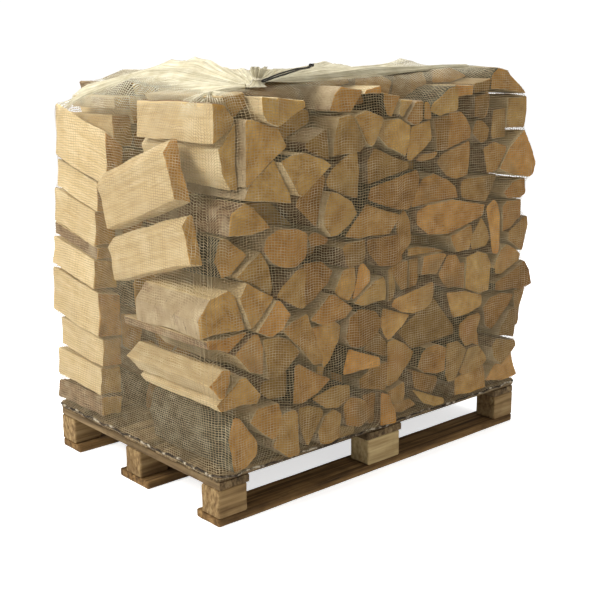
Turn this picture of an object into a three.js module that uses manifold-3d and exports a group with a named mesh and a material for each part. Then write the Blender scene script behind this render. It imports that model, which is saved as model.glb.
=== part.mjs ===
// A pallet of split birch firewood, stacked in two rows under a net that a drawstring closes.
// Millimetres, +Z up. The origin is on the ground at the middle of the pallet, +X runs along its
// long side and the front row's log ends face -Y.
import * as THREE from 'three';
import { ConvexGeometry } from 'three/addons/geometries/ConvexGeometry.js';
import { mergeVertices } from 'three/addons/utils/BufferGeometryUtils.js';
import Module from 'manifold-3d';

const wasm = await Module();
wasm.setup();

// Pallet
const PALLET_LENGTH = 1200;
const PALLET_WIDTH = 800;
const BOARD_THICK = 22;
const BLOCK_HEIGHT = 78;
const CORNER_BLOCK_LENGTH = 90;
const MIDDLE_BLOCK_LENGTH = 126;
const BLOCK_WIDTH = 76;
const BOTTOM_BOARD_WIDTHS = [100, 145, 100];
const STRINGER_WIDTHS = [100, 145, 100];
const DECK_BOARD_WIDTHS = [145, 100, 145, 100, 145];
const JOINT_GAP = 0.3;
const STRINGER_BOTTOM = BOARD_THICK + BLOCK_HEIGHT;
const DECK_TOP = STRINGER_BOTTOM + 2 * BOARD_THICK;

// Stack
const LAYOUT_LEFT = -618;
const LAYOUT_BOTTOM = 126;
const LAYOUT_SCALE = 0.987;
const LAYOUT_LENGTH = 1200;
const FRONT_ROW = { near: -430, length: 360 };
const BACK_ROW = { near: 135, length: 285 };
const LEFT_COLUMN_WIDTH = 86;
const LEFT_COLUMN_GAP = 3;
const END_SCATTER = 14;
const CORNER_SCATTER = 2;
const SETTLE = 4.5;
const LOG_GAP = 0.6;
const LOG_BITE = 3;
const LOGS_IN_A_GROUP = 11;
const FEWEST_IN_A_GROUP = 5;
const SHORTEST_EDGE = 8;

// Net and drawstring
const NET_CLEARANCE = 2;
const NET_THICK = 2;
const HEM_BOTTOM = 124;
const DRAWSTRING_DIAMETER = 4;
const DRAWSTRING_SIDES = 8;
const DRAWSTRING_STEP = 2.5 * DRAWSTRING_DIAMETER;
const KNOT_RADIUS = 7;

// The net is gathered into a neck, tied, and flares above its tie: [radius, height] up its side.
const NECK = { place: [-423, -355, 1096], lean: 12, sides: 12 };
const NECK_PROFILE = [[0, 0], [30, 0], [12, 12], [9, 16], [9, 22], [15, 38], [18, 48], [0, 44]];

// The drawstring's two strands, from the neck to the knot in their ends.
const STRANDS = {
  near: [
    [-411, -363, 1111], [-400, -357, 1110.8], [-386, -350, 1112.2], [-369, -341, 1114.9],
    [-350, -333, 1117.5], [-332, -325, 1120], [-314, -318, 1122.5], [-296, -311, 1125],
    [-278, -304, 1127.5], [-259, -297, 1130.1], [-241, -289, 1132.6], [-223, -281, 1135.2],
    [-205, -272, 1137.7], [-187, -263, 1138.7], [-168, -254, 1139.6], [-150, -245, 1141],
    [-131, -234, 1144],
  ],
  far: [
    [-411, -348, 1112], [-400, -343, 1111.8], [-386, -336, 1113.4], [-369, -328, 1115.8],
    [-350, -318, 1118.5], [-332, -309, 1121.2], [-314, -300, 1123.8], [-296, -291, 1126.4],
    [-278, -284, 1129], [-259, -277, 1131.4], [-241, -271, 1133.9], [-223, -265, 1136.3],
    [-205, -259, 1138.4], [-187, -253, 1139.1], [-168, -246, 1139.8], [-150, -238, 1141],
    [-132, -229, 1144],
  ],
};
const KNOT_PLACE = [-123, -228, 1147];

const COLOURS = {
  split: 0xcda873,
  oldBoard: 0xa98f62,
  newBlock: 0xd9bf8a,
  net: 0xe4dcc6,
  drawstring: 0x17150f,
};

const part = new THREE.Group();

function material(colour, roughness) {
  return new THREE.MeshStandardMaterial({ color: colour, roughness, metalness: 0 });
}

const FINISH = {
  split: material(COLOURS.split, 0.85),
  oldBoard: material(COLOURS.oldBoard, 0.9),
  newBlock: material(COLOURS.newBlock, 0.85),
  net: material(COLOURS.net, 0.7),
  drawstring: material(COLOURS.drawstring, 0.8),
};

function addPart(name, geometry, finish) {
  const mesh = new THREE.Mesh(geometry, finish);
  mesh.name = name;
  part.add(mesh);
  return mesh;
}

// Repeatable scatter, from -1 to 1, so that every build stacks the same logs.
let scatterState = 20261;
function scatter() {
  scatterState = (scatterState * 48271) % 2147483647;
  return (2 * scatterState) / 2147483647 - 1;
}

// ---- Solids -------------------------------------------------------------------------------

function toSolid(geometry) {
  const bare = geometry.index ? geometry.toNonIndexed() : geometry.clone();
  bare.deleteAttribute('normal');
  bare.deleteAttribute('uv');
  const merged = mergeVertices(bare, 1e-4);
  return new wasm.Manifold(new wasm.Mesh({
    numProp: 3,
    vertProperties: new Float32Array(merged.attributes.position.array),
    triVerts: new Uint32Array(merged.index.array),
  }));
}

function toGeometry(solid) {
  const mesh = solid.getMesh();
  const geometry = new THREE.BufferGeometry();
  geometry.setAttribute('position', new THREE.BufferAttribute(new Float32Array(mesh.vertProperties), 3));
  geometry.setIndex(new THREE.BufferAttribute(new Uint32Array(mesh.triVerts), 1));
  geometry.computeVertexNormals();
  return geometry;
}

// ---- Pallet -------------------------------------------------------------------------------

function addBox(name, size, centre, finish) {
  const mesh = addPart(name, new THREE.BoxGeometry(...size), finish);
  mesh.position.set(...centre);
}

// Places boards of the given widths side by side, the outer two flush with the edges.
function spreadAcross(widths, span) {
  const free = (span - widths.reduce((sum, width) => sum + width, 0)) / (widths.length - 1);
  let edge = -span / 2;
  return widths.map((width) => {
    const centre = edge + width / 2;
    edge += width + free;
    return centre;
  });
}

function addPallet() {
  const sides = ['near', 'middle', 'far'];
  const ends = ['left', 'centre', 'right'];
  const blockLengths = [CORNER_BLOCK_LENGTH, MIDDLE_BLOCK_LENGTH, CORNER_BLOCK_LENGTH];
  const blockX = spreadAcross(blockLengths, PALLET_LENGTH);
  const blockY = spreadAcross([BLOCK_WIDTH, BLOCK_WIDTH, BLOCK_WIDTH], PALLET_WIDTH);
  const bottomY = spreadAcross(BOTTOM_BOARD_WIDTHS, PALLET_WIDTH);
  const stringerX = spreadAcross(STRINGER_WIDTHS, PALLET_LENGTH);
  const deckY = spreadAcross(DECK_BOARD_WIDTHS, PALLET_WIDTH);
  const board = BOARD_THICK - JOINT_GAP;

  sides.forEach((side, row) => {
    addBox(`bottom_board_${side}`, [PALLET_LENGTH, BOTTOM_BOARD_WIDTHS[row], board],
      [0, bottomY[row], board / 2], FINISH.oldBoard);
    ends.forEach((end, column) => {
      addBox(`block_${side}_${end}`, [blockLengths[column], BLOCK_WIDTH, BLOCK_HEIGHT - JOINT_GAP],
        [blockX[column], blockY[row], BOARD_THICK + (BLOCK_HEIGHT - JOINT_GAP) / 2], FINISH.newBlock);
    });
  });
  ends.forEach((end, column) => {
    addBox(`stringer_${end}`, [STRINGER_WIDTHS[column], PALLET_WIDTH, board],
      [stringerX[column], 0, STRINGER_BOTTOM + board / 2], FINISH.oldBoard);
  });
  DECK_BOARD_WIDTHS.forEach((width, row) => {
    addBox(`deck_board_${row + 1}`, [PALLET_LENGTH, width, board],
      [0, deckY[row], STRINGER_BOTTOM + BOARD_THICK + board / 2], FINISH.oldBoard);
  });
}

// ---- Where the logs lie -------------------------------------------------------------------
// Each log end is drawn by its corners, [along the long side from its left end, height above the
// ground], anticlockwise. `back` is how far its outer end stands back from the face of the stack,
// and `shorter` how far its inner end does from the row's.

const FRONT_COURSES = [
  [ // on the deck
    { corners: [[44, 141], [84, 146], [118, 168], [121, 205], [64, 280], [46, 286], [27, 226]] },
    { corners: [[166, 184], [222, 136], [262, 134], [256, 252], [240, 262], [196, 258]] },
    { corners: [[276, 178], [292, 148], [352, 226], [346, 242], [300, 259], [265, 260], [262, 222]] },
    { corners: [[330, 178], [340, 144], [372, 136], [410, 148], [414, 210], [384, 232], [354, 220]] },
    { corners: [[405, 134], [430, 126], [478, 130], [482, 155], [430, 170], [408, 158]] },
    { corners: [[428, 178], [480, 160], [520, 176], [520, 222], [480, 240], [440, 252], [420, 234]] },
    { corners: [[528, 150], [562, 148], [566, 238], [500, 238], [520, 190]] },
    { corners: [[566, 142], [630, 132], [626, 170], [602, 224], [568, 238]] },
    { corners: [[634, 190], [668, 180], [678, 210], [672, 248], [640, 238], [606, 232]] },
    { corners: [[640, 150], [700, 140], [760, 150], [716, 186], [672, 178], [640, 182]], back: 30 },
    { corners: [[716, 214], [772, 158], [820, 132], [876, 130], [862, 180], [840, 198], [760, 196]] },
    { corners: [[868, 140], [904, 140], [906, 204], [866, 206]], back: 80 },
    { corners: [[906, 154], [980, 146], [1052, 148], [1048, 190], [1036, 230], [960, 208], [904, 206]] },
    { corners: [[1062, 164], [1150, 146], [1232, 150], [1212, 202], [1188, 256], [1106, 208]] },
  ],
  [
    { corners: [[132, 230], [166, 203], [186, 206], [196, 262], [184, 298], [122, 298], [98, 262]] },
    { corners: [[300, 282], [354, 244], [400, 236], [438, 250], [440, 290], [385, 300]] },
    { corners: [[442, 262], [500, 252], [498, 312], [442, 312]], back: 80 },
    { corners: [[490, 284], [500, 262], [560, 244], [602, 232], [612, 286], [608, 320], [560, 318]] },
    { corners: [[614, 246], [640, 240], [668, 254], [700, 288], [726, 322], [700, 346],
      [642, 378], [612, 372]] },
    { corners: [[712, 222], [760, 198], [800, 196], [812, 230], [800, 248], [748, 260], [696, 282]] },
    { corners: [[712, 288], [752, 262], [800, 250], [838, 250], [846, 316], [806, 334],
      [772, 342], [732, 324]] },
    { corners: [[842, 244], [860, 207], [888, 206], [904, 232], [928, 262], [944, 292],
      [902, 328], [850, 332]] },
    { corners: [[912, 226], [940, 214], [990, 220], [1040, 240], [1030, 262], [998, 298], [948, 296]] },
    { corners: [[1002, 300], [1036, 256], [1054, 262], [1052, 318], [1022, 344], [994, 342]], back: 25 },
    { corners: [[1056, 288], [1070, 246], [1108, 214], [1150, 238], [1186, 264], [1180, 284],
      [1080, 302]] },
  ],
  [
    { corners: [[2, 330], [14, 310], [130, 298], [141, 325], [94, 380], [74, 383]] },
    { corners: [[148, 330], [178, 300], [236, 300], [240, 376], [160, 360]], back: 20 },
    { corners: [[236, 284], [272, 277], [312, 287], [368, 322], [300, 362], [262, 384], [242, 386]] },
    { corners: [[372, 310], [414, 306], [422, 360], [436, 392], [384, 366]], back: 40 },
    { corners: [[416, 324], [490, 317], [560, 314], [560, 346], [500, 370], [440, 394], [424, 362]] },
    { corners: [[508, 372], [606, 336], [604, 382], [566, 424]] },
    { corners: [[696, 358], [728, 326], [902, 336], [904, 376], [878, 404], [846, 446],
      [802, 476], [770, 464],
      [652, 402]] },
    { corners: [[910, 344], [946, 301], [986, 306], [996, 330], [1014, 378], [1000, 398], [952, 396],
      [908, 378]] },
    { corners: [[1052, 346], [1082, 328], [1112, 350], [1160, 396], [1186, 426], [1120, 444], [1060, 434],
      [1036, 408]] },
    { corners: [[1100, 306], [1180, 290], [1186, 330], [1182, 388], [1150, 378], [1110, 336]] },
    { corners: [[1190, 326], [1206, 324], [1244, 452], [1184, 436]] },
  ],
  [
    { corners: [[-30, 478], [44, 458], [98, 489], [98, 498], [-30, 500]] },
    { corners: [[0, 349], [14, 346], [28, 376], [34, 414], [8, 422], [-34, 388]] },
    { corners: [[48, 450], [98, 398], [138, 386], [141, 450], [132, 489], [100, 488]] },
    { corners: [[156, 410], [164, 366], [206, 362], [276, 420], [252, 444], [200, 466], [146, 472]] },
    { corners: [[206, 482], [312, 370], [350, 372], [345, 395], [302, 492], [292, 516], [250, 503]] },
    { corners: [[345, 398], [362, 356], [384, 368], [428, 428], [432, 452], [400, 474], [318, 468]] },
    { corners: [[306, 498], [350, 477], [425, 484], [458, 508], [404, 545], [372, 552]] },
    { corners: [[426, 430], [442, 402], [484, 388], [470, 494], [434, 478]] },
    { corners: [[478, 440], [488, 388], [520, 396], [560, 424], [572, 448], [545, 480],
      [505, 492], [474, 494]] },
    { corners: [[574, 440], [598, 396], [614, 378], [640, 396], [672, 420], [696, 446],
      [640, 458], [582, 480]] },
    { corners: [[600, 490], [650, 462], [700, 452], [768, 458], [784, 500], [780, 528],
      [742, 536], [622, 516]] },
    { corners: [[862, 444], [876, 405], [950, 410], [1012, 424], [1012, 456], [944, 476], [848, 484]] },
    { corners: [[1014, 424], [1036, 412], [1062, 438], [1068, 458], [1014, 454]], back: 60 },
    { corners: [[1070, 458], [1190, 444], [1248, 456], [1234, 506], [1206, 546], [1072, 494]] },
  ],
  [
    { corners: [[-40, 505], [98, 503], [70, 592], [46, 612], [-10, 600], [-46, 556]], shorter: 60 },
    { corners: [[102, 503], [155, 540], [178, 577], [98, 628], [72, 590]] },
    { corners: [[112, 500], [160, 478], [200, 492], [228, 524], [200, 562], [178, 572]] },
    { corners: [[193, 576], [268, 534], [290, 532], [290, 640], [258, 634], [218, 606]] },
    { corners: [[296, 528], [335, 545], [380, 580], [398, 612], [360, 640], [296, 645]] },
    { corners: [[410, 540], [456, 524], [484, 560], [478, 620], [438, 612], [404, 560]] },
    { corners: [[466, 522], [498, 534], [538, 558], [538, 590], [512, 616], [488, 610]] },
    { corners: [[470, 516], [510, 502], [590, 506], [600, 540], [584, 572], [540, 558]] },
    { corners: [[600, 500], [622, 504], [624, 548], [612, 592], [594, 600]] },
    { corners: [[644, 548], [668, 518], [690, 516], [686, 600], [650, 602], [616, 592]] },
    { corners: [[694, 518], [720, 520], [728, 548], [732, 606], [692, 602]] },
    { corners: [[734, 556], [798, 550], [836, 602], [800, 614], [740, 608]] },
    { corners: [[786, 536], [788, 480], [846, 486], [818, 524], [800, 546]], back: 90 },
    { corners: [[800, 548], [820, 524], [850, 502], [904, 500], [900, 566], [880, 596], [838, 600]] },
    { corners: [[906, 494], [944, 482], [942, 560], [908, 562]] },
    { corners: [[950, 480], [1016, 454], [1068, 458], [1072, 534], [1046, 572], [1000, 588], [948, 578]] },
    { corners: [[1078, 510], [1120, 502], [1192, 520], [1206, 556], [1170, 588], [1130, 600], [1092, 578],
      [1074, 538]] },
  ],
  [
    { corners: [[20, 680], [40, 640], [70, 646], [104, 668], [120, 690], [60, 742], [36, 738]], back: 20 },
    { corners: [[75, 642], [181, 578], [190, 600], [186, 640], [172, 672], [152, 700], [110, 668]] },
    { corners: [[190, 612], [216, 606], [256, 634], [214, 648], [190, 656]], back: 90 },
    { corners: [[186, 668], [215, 648], [262, 642], [298, 668], [300, 725], [255, 742],
      [205, 748], [168, 730],
      [158, 700]] },
    { corners: [[302, 722], [318, 688], [362, 690], [378, 702], [352, 716], [330, 724]] },
    { corners: [[304, 648], [398, 648], [412, 668], [380, 690], [316, 684]], back: 80 },
    { corners: [[424, 640], [444, 612], [488, 614], [502, 650], [498, 688], [430, 684], [412, 672]] },
    { corners: [[428, 704], [500, 690], [602, 690], [652, 738], [600, 758], [512, 784], [500, 772]] },
    { corners: [[512, 652], [560, 604], [600, 598], [652, 612], [640, 686], [504, 686]] },
    { corners: [[654, 614], [702, 656], [700, 712], [672, 750], [642, 722], [642, 688]] },
    { corners: [[708, 650], [740, 632], [860, 612], [848, 640], [760, 664], [712, 670]], back: 90 },
    { corners: [[694, 608], [866, 603], [760, 634], [692, 636]] },
    { corners: [[702, 708], [760, 672], [850, 664], [940, 684], [1004, 700], [1012, 732], [960, 744],
      [850, 760], [760, 758], [706, 744]] },
    { corners: [[866, 628], [882, 604], [940, 608], [954, 648], [944, 678], [852, 656]] },
    { corners: [[956, 640], [962, 602], [1030, 606], [1050, 634], [1030, 662], [1002, 694]] },
    { corners: [[1018, 716], [1054, 580], [1096, 572], [1096, 680], [1082, 722], [1062, 742]] },
    { corners: [[1106, 640], [1160, 652], [1198, 676], [1194, 736], [1130, 740], [1100, 716]] },
    { corners: [[1140, 606], [1214, 562], [1240, 650], [1234, 676], [1200, 672], [1140, 640]] },
  ],
  [
    { corners: [[52, 744], [120, 742], [186, 754], [166, 776], [134, 806], [102, 824], [56, 800]] },
    { corners: [[190, 750], [330, 731], [270, 790], [252, 803], [160, 808], [172, 776]], back: 90 },
    { corners: [[268, 798], [334, 731], [346, 742], [372, 838], [370, 866], [348, 876], [300, 844]] },
    { corners: [[352, 740], [376, 712], [402, 716], [440, 736], [466, 762], [450, 794],
      [402, 820], [374, 826],
      [354, 786]] },
    { corners: [[504, 796], [600, 762], [668, 752], [696, 784], [712, 830], [704, 866], [514, 830]] },
    { corners: [[696, 752], [896, 762], [882, 796], [850, 818], [790, 840], [744, 832], [706, 796]] },
    { corners: [[914, 764], [960, 750], [1020, 744], [1050, 782], [1068, 820], [916, 818], [902, 798]] },
    { corners: [[1040, 752], [1090, 764], [1092, 788], [1076, 815], [1058, 790]], back: 60 },
    { corners: [[1092, 766], [1120, 742], [1170, 738], [1200, 752], [1196, 800], [1140, 790]] },
  ],
  [
    { corners: [[104, 828], [180, 816], [252, 808], [242, 848], [216, 890], [194, 922], [152, 896],
      [116, 858]] },
    { corners: [[202, 920], [238, 860], [258, 832], [276, 828], [374, 896], [344, 914], [286, 932],
      [242, 930]] },
    { corners: [[382, 838], [440, 814], [492, 800], [496, 870], [486, 924], [450, 914], [400, 884],
      [378, 858]] },
    { corners: [[520, 834], [620, 848], [680, 864], [680, 880], [600, 906], [540, 930], [516, 898]] },
    { corners: [[686, 872], [712, 846], [800, 846], [800, 880], [700, 884]], back: 90 },
    { corners: [[704, 888], [750, 882], [784, 892], [800, 914], [742, 908]] },
    { corners: [[802, 874], [850, 832], [900, 818], [940, 824], [952, 880], [944, 926], [900, 918],
      [830, 898]] },
    { corners: [[946, 826], [1012, 826], [1000, 900], [990, 922], [950, 926]], back: 100 },
    { corners: [[1018, 826], [1064, 834], [1096, 868], [1108, 902], [1050, 916], [1000, 900]] },
    { corners: [[1074, 838], [1140, 812], [1222, 800], [1240, 810], [1246, 846], [1228, 898], [1196, 950],
      [1160, 926], [1112, 888]] },
  ],
  [
    { corners: [[104, 852], [236, 948], [226, 962], [198, 1002], [140, 1020], [102, 1022]] },
    { corners: [[44, 952], [56, 900], [80, 858], [103, 852], [101, 1020]], back: 30 },
    { corners: [[282, 950], [322, 926], [368, 914], [364, 990], [310, 976]] },
    { corners: [[382, 922], [476, 926], [498, 946], [474, 984], [448, 1024], [400, 1014], [386, 974]] },
    { corners: [[508, 948], [530, 938], [552, 964], [570, 1000], [560, 1012], [510, 1030], [464, 1016]] },
    { corners: [[554, 968], [600, 930], [668, 902], [682, 930], [684, 982], [642, 1000], [580, 998]] },
    { corners: [[674, 898], [694, 886], [744, 914], [784, 948], [764, 994], [690, 980]] },
    { corners: [[778, 952], [786, 902], [830, 904], [840, 956], [830, 1004], [768, 996]] },
    { corners: [[834, 900], [952, 932], [958, 952], [930, 990], [904, 1012], [850, 1012]] },
    { corners: [[962, 946], [1006, 914], [1040, 926], [1042, 956], [1010, 978], [984, 984]] },
    { corners: [[1054, 926], [1116, 930], [1114, 1012], [1052, 1010], [1046, 952]] },
    { corners: [[1118, 955], [1205, 950], [1218, 1002], [1215, 1050], [1120, 1046]] },
  ],
  [
    { corners: [[22, 970], [75, 1000], [88, 1025], [60, 1060], [24, 1066]], back: 30 },
    { corners: [[95, 1028], [140, 1050], [128, 1086], [62, 1078]], back: 40 },
    { corners: [[146, 1040], [165, 1012], [200, 1005], [198, 1072], [142, 1078]] },
    { corners: [[202, 1006], [212, 1006], [262, 1030], [294, 1046], [290, 1062], [202, 1072]] },
    { corners: [[216, 1000], [238, 958], [280, 952], [376, 990], [376, 1032], [296, 1044]], back: 90 },
    { corners: [[380, 1032], [455, 1028], [505, 1082], [420, 1094], [400, 1075]] },
    { corners: [[462, 1030], [510, 1034], [560, 1016], [572, 1048], [562, 1070], [500, 1070]], back: 80 },
    { corners: [[500, 1074], [562, 1074], [560, 1093], [506, 1084]] },
    { corners: [[572, 1050], [585, 1018], [605, 1014], [640, 1064], [576, 1074]] },
    { corners: [[636, 1018], [652, 1008], [690, 1050], [642, 1056]] },
    { corners: [[652, 1002], [700, 984], [726, 1000], [724, 1050], [692, 1048]] },
    { corners: [[728, 1002], [762, 999], [752, 1040], [728, 1046]] },
    { corners: [[752, 1020], [800, 1003], [866, 1015], [872, 1050], [868, 1086], [830, 1078],
      [765, 1042]] },
    { corners: [[876, 1018], [950, 1020], [956, 1054], [876, 1052]], back: 80 },
    { corners: [[876, 1056], [955, 1058], [960, 1085], [872, 1088]] },
    { corners: [[960, 1000], [1000, 988], [1030, 1030], [1024, 1060], [962, 1058]] },
    { corners: [[1004, 986], [1046, 992], [1058, 1030], [1056, 1066], [1030, 1062]], back: 20 },
    { corners: [[1062, 1032], [1116, 1034], [1118, 1064], [1064, 1062]], back: 80 },
    { corners: [[962, 1063], [1030, 1068], [1040, 1104], [964, 1090]] },
    { corners: [[1042, 1070], [1200, 1054], [1210, 1056], [1120, 1126], [1075, 1134], [1046, 1112]] },
  ],
  [ // lying on top, behind the face
    { corners: [[180, 1076], [292, 1068], [300, 1096], [250, 1104]], back: 110 },
    { corners: [[300, 1052], [378, 1046], [396, 1084], [330, 1110], [302, 1100]], back: 120 },
    { corners: [[410, 1100], [500, 1092], [560, 1098], [540, 1124], [450, 1128]], back: 110 },
    { corners: [[566, 1082], [640, 1070], [700, 1056], [716, 1100], [640, 1130], [572, 1122]], back: 100 },
    { corners: [[720, 1056], [762, 1048], [820, 1082], [870, 1092], [850, 1124], [730, 1118]], back: 120 },
    { corners: [[880, 1094], [960, 1092], [1030, 1110], [960, 1134], [884, 1128]], back: 110 },
  ],
];

// The back row's left column, whose logs slope down towards the front row, in degrees, and whose
// split sides show between the deck and the net's top.
const LEFT_COLUMN = [
  { corners: [[2, 152], [70, 146], [76, 200], [8, 206]], back: 25, slope: 0 },
  { corners: [[10, 212], [78, 206], [84, 286], [14, 292]], back: 40, slope: 3 },
  { corners: [[16, 298], [80, 292], [80, 378], [18, 384]], back: 45, slope: 6 },
  { corners: [[0, 392], [80, 384], [80, 500], [8, 520]], back: 30, slope: 9 },
  { corners: [[2, 530], [80, 522], [80, 600], [10, 610]], back: 35, slope: 11 },
  { corners: [[16, 616], [80, 610], [80, 642], [18, 650]], back: 60, slope: 12 },
  { corners: [[8, 656], [80, 650], [80, 740], [14, 750]], back: 60, slope: 13 },
  { corners: [[14, 756], [80, 750], [80, 830], [18, 840]], back: 75, slope: 14 },
  { corners: [[10, 846], [80, 840], [72, 950], [22, 990]], back: 100, shorter: -70, slope: 15 },
];

// Two big split logs that lean against the front row's left side, their near ends raised. Their
// section is [thickness along X, height], and their middle is [x, y, z] in the pallet's frame.
const LEANING_LOGS = [
  { name: 'leaning_log_upper', section: [54, 164], length: 330, middle: [-631, -141, 851], tilt: 18.5 },
  { name: 'leaning_log_lower', section: [42, 130], length: 355, middle: [-638, -192, 697], tilt: 15.2 },
];

function inPlace([along, height]) {
  return new THREE.Vector2(
    LAYOUT_LEFT + along * LAYOUT_SCALE,
    Math.max(DECK_TOP + JOINT_GAP, DECK_TOP + (height - LAYOUT_BOTTOM - 5) * LAYOUT_SCALE),
  );
}

function middleOf(outline) {
  return outline.reduce((sum, p) => sum.add(p), new THREE.Vector2()).divideScalar(outline.length);
}

// Settles a log: its corners move out a little, towards its neighbours, each by its own amount.
function settled(corners) {
  const outline = corners.map(inPlace);
  const middle = middleOf(outline);
  return outline.map((p) => {
    const away = p.clone().sub(middle);
    const step = SETTLE + Math.abs(scatter()) * CORNER_SCATTER;
    const moved = p.clone().add(away.setLength(step));
    moved.y = Math.max(moved.y, DECK_TOP + JOINT_GAP);
    return moved;
  });
}

function makeLog({ corners, back = 0, shorter = 0, slope = 0 }, row, front) {
  const reach = front ? -1 : 1;
  const face = front ? row.near : row.near + row.length;
  const inside = front ? row.near + row.length : row.near;
  const outerEnd = face - reach * (back + scatter() * END_SCATTER);
  const innerEnd = inside + reach * (shorter + scatter() * END_SCATTER);
  const [from, to] = front ? [outerEnd, innerEnd] : [innerEnd, outerEnd];
  const rise = Math.tan(THREE.MathUtils.degToRad(slope));
  return { outline: settled(corners), from, to, rise, level: inside };
}

function middleAlong(corners) {
  return corners.reduce((sum, [along]) => sum + along, 0) / corners.length;
}

function mirrored({ corners, back }) {
  return { corners: corners.map(([along, height]) => [LAYOUT_LENGTH - along, height]).reverse(), back };
}

// ---- Fitting neighbours together -----------------------------------------------------------

// The direction in which two convex outlines overlap least, and how far each reaches along it.
function closestFaces(a, b) {
  let best = null;
  for (const [own, other, sign] of [[a, b, 1], [b, a, -1]]) {
    own.forEach((p, i) => {
      const q = own[(i + 1) % own.length];
      const normal = new THREE.Vector2(q.y - p.y, p.x - q.x).normalize();
      const overlap = normal.dot(p) - Math.min(...other.map((r) => normal.dot(r)));
      if (best && overlap >= best.overlap) return;
      const at = sign * (normal.dot(p) - overlap / 2);
      best = { overlap, normal: normal.clone().multiplyScalar(sign), at };
    });
  }
  return best;
}

// Keeps the part of a convex outline where normal . p <= limit.
function trimmed(outline, normal, limit) {
  const kept = [];
  outline.forEach((p, i) => {
    const q = outline[(i + 1) % outline.length];
    const dp = normal.dot(p) - limit;
    const dq = normal.dot(q) - limit;
    if (dp <= 0) kept.push(p);
    if ((dp < 0 && dq > 0) || (dp > 0 && dq < 0)) kept.push(p.clone().lerp(q, dp / (dp - dq)));
  });
  return kept;
}

function cleaned(outline) {
  return outline.filter((p, i) => p.distanceTo(outline[(i + 1) % outline.length]) > SHORTEST_EDGE);
}

function touching(a, b) {
  return closestFaces(a.outline, b.outline).overlap > LOG_GAP;
}

// Puts logs that touch into groups, going up the stack.
function groupTouching(logs) {
  const free = new Set(logs);
  const groups = [];
  while (free.size) {
    const group = [free.values().next().value];
    free.delete(group[0]);
    for (let i = 0; i < group.length; i += 1) {
      for (const other of free) {
        if (group.length >= LOGS_IN_A_GROUP) break;
        if (!touching(group[i], other)) continue;
        group.push(other);
        free.delete(other);
      }
    }
    groups.push(group);
  }
  return absorbed(groups);
}

// Gives each group of few logs to the smallest group that it touches.
function absorbed(groups) {
  const kept = [...groups].sort((a, b) => b.length - a.length);
  for (let i = kept.length - 1; i >= 0; i -= 1) {
    const few = kept[i];
    if (few.length >= FEWEST_IN_A_GROUP) continue;
    const meets = (group) => group.some((log) => few.some((own) => touching(own, log)));
    const hosts = kept.filter((group) => group !== few && meets(group));
    if (!hosts.length) continue;
    const host = hosts.reduce((least, group) => (group.length < least.length ? group : least));
    host.push(...few);
    kept.splice(i, 1);
  }
  return kept.sort((a, b) => groupHeight(a) - groupHeight(b));
}

function groupHeight(group) {
  return group.reduce((sum, log) => sum + middleOf(log.outline).y, 0) / group.length;
}

// Trims neighbours to the line midway through their overlap: logs of one group keep a small bite
// in each other, and all others keep a gap.
function fitTogether(groups) {
  const logs = groups.flatMap((group, index) => group.map((log) => Object.assign(log, { group: index })));
  logs.forEach((a, i) => {
    logs.slice(i + 1).forEach((b) => {
      const gap = a.group === b.group ? -LOG_BITE : LOG_GAP;
      const { overlap, normal, at } = closestFaces(a.outline, b.outline);
      if (overlap <= -gap) return;
      a.outline = trimmed(a.outline, normal, at - gap / 2);
      b.outline = trimmed(b.outline, normal.clone().negate(), -at - gap / 2);
    });
  });
  logs.forEach((log) => {
    log.outline = cleaned(log.outline);
  });
}

// A log rises along its length from where it is level with its outline.
function logSolid({ outline, from, to, rise, level }) {
  const section = new THREE.Shape(outline);
  const geometry = new THREE.ExtrudeGeometry(section, { depth: to - from, bevelEnabled: false });
  geometry.rotateX(Math.PI / 2);
  geometry.translate(0, to, 0);
  geometry.applyMatrix4(new THREE.Matrix4().makeShear(0, 0, 0, rise, 0, 0));
  geometry.translate(0, 0, -rise * level);
  return toSolid(geometry);
}

function addRow(name, logs) {
  const groups = groupTouching(logs);
  fitTogether(groups);
  let count = 0;
  groups.forEach((group) => {
    const joined = group.map(logSolid).reduce((sum, solid) => sum.add(solid));
    joined.decompose().forEach((solid) => {
      count += 1;
      addPart(`${name}_${String(count).padStart(2, '0')}`, toGeometry(solid), FINISH.split);
    });
  });
}

function addLeaningLog({ name, section, length, middle, tilt }) {
  const mesh = addPart(name, new THREE.BoxGeometry(section[0], length, section[1]), FINISH.split);
  mesh.position.set(...middle);
  mesh.rotation.x = -THREE.MathUtils.degToRad(tilt);
}

// ---- Net and drawstring --------------------------------------------------------------------

// The net is stretched from point to point over the load, so it takes the load's convex shape.
function wrapAround(points, distance) {
  const spread = [];
  for (const p of points) {
    for (const dx of [-distance, distance]) {
      for (const dy of [-distance, distance]) {
        spread.push(new THREE.Vector3(p.x + dx, p.y + dy, p.z - distance));
        spread.push(new THREE.Vector3(p.x + dx, p.y + dy, p.z + distance));
      }
    }
  }
  return toSolid(new ConvexGeometry(spread));
}

function deckCorners() {
  const points = [];
  for (const x of [-PALLET_LENGTH / 2, PALLET_LENGTH / 2]) {
    for (const y of [-PALLET_WIDTH / 2, PALLET_WIDTH / 2]) {
      points.push(new THREE.Vector3(x, y, HEM_BOTTOM - 10));
    }
  }
  return points;
}

function loadCorners() {
  const points = [];
  part.updateMatrixWorld(true);
  part.traverse((mesh) => {
    if (!mesh.isMesh || !/log/.test(mesh.name)) return;
    const place = mesh.geometry.attributes.position;
    for (let i = 0; i < place.count; i += 1) {
      points.push(new THREE.Vector3().fromBufferAttribute(place, i).applyMatrix4(mesh.matrixWorld));
    }
  });
  return points;
}

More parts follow.
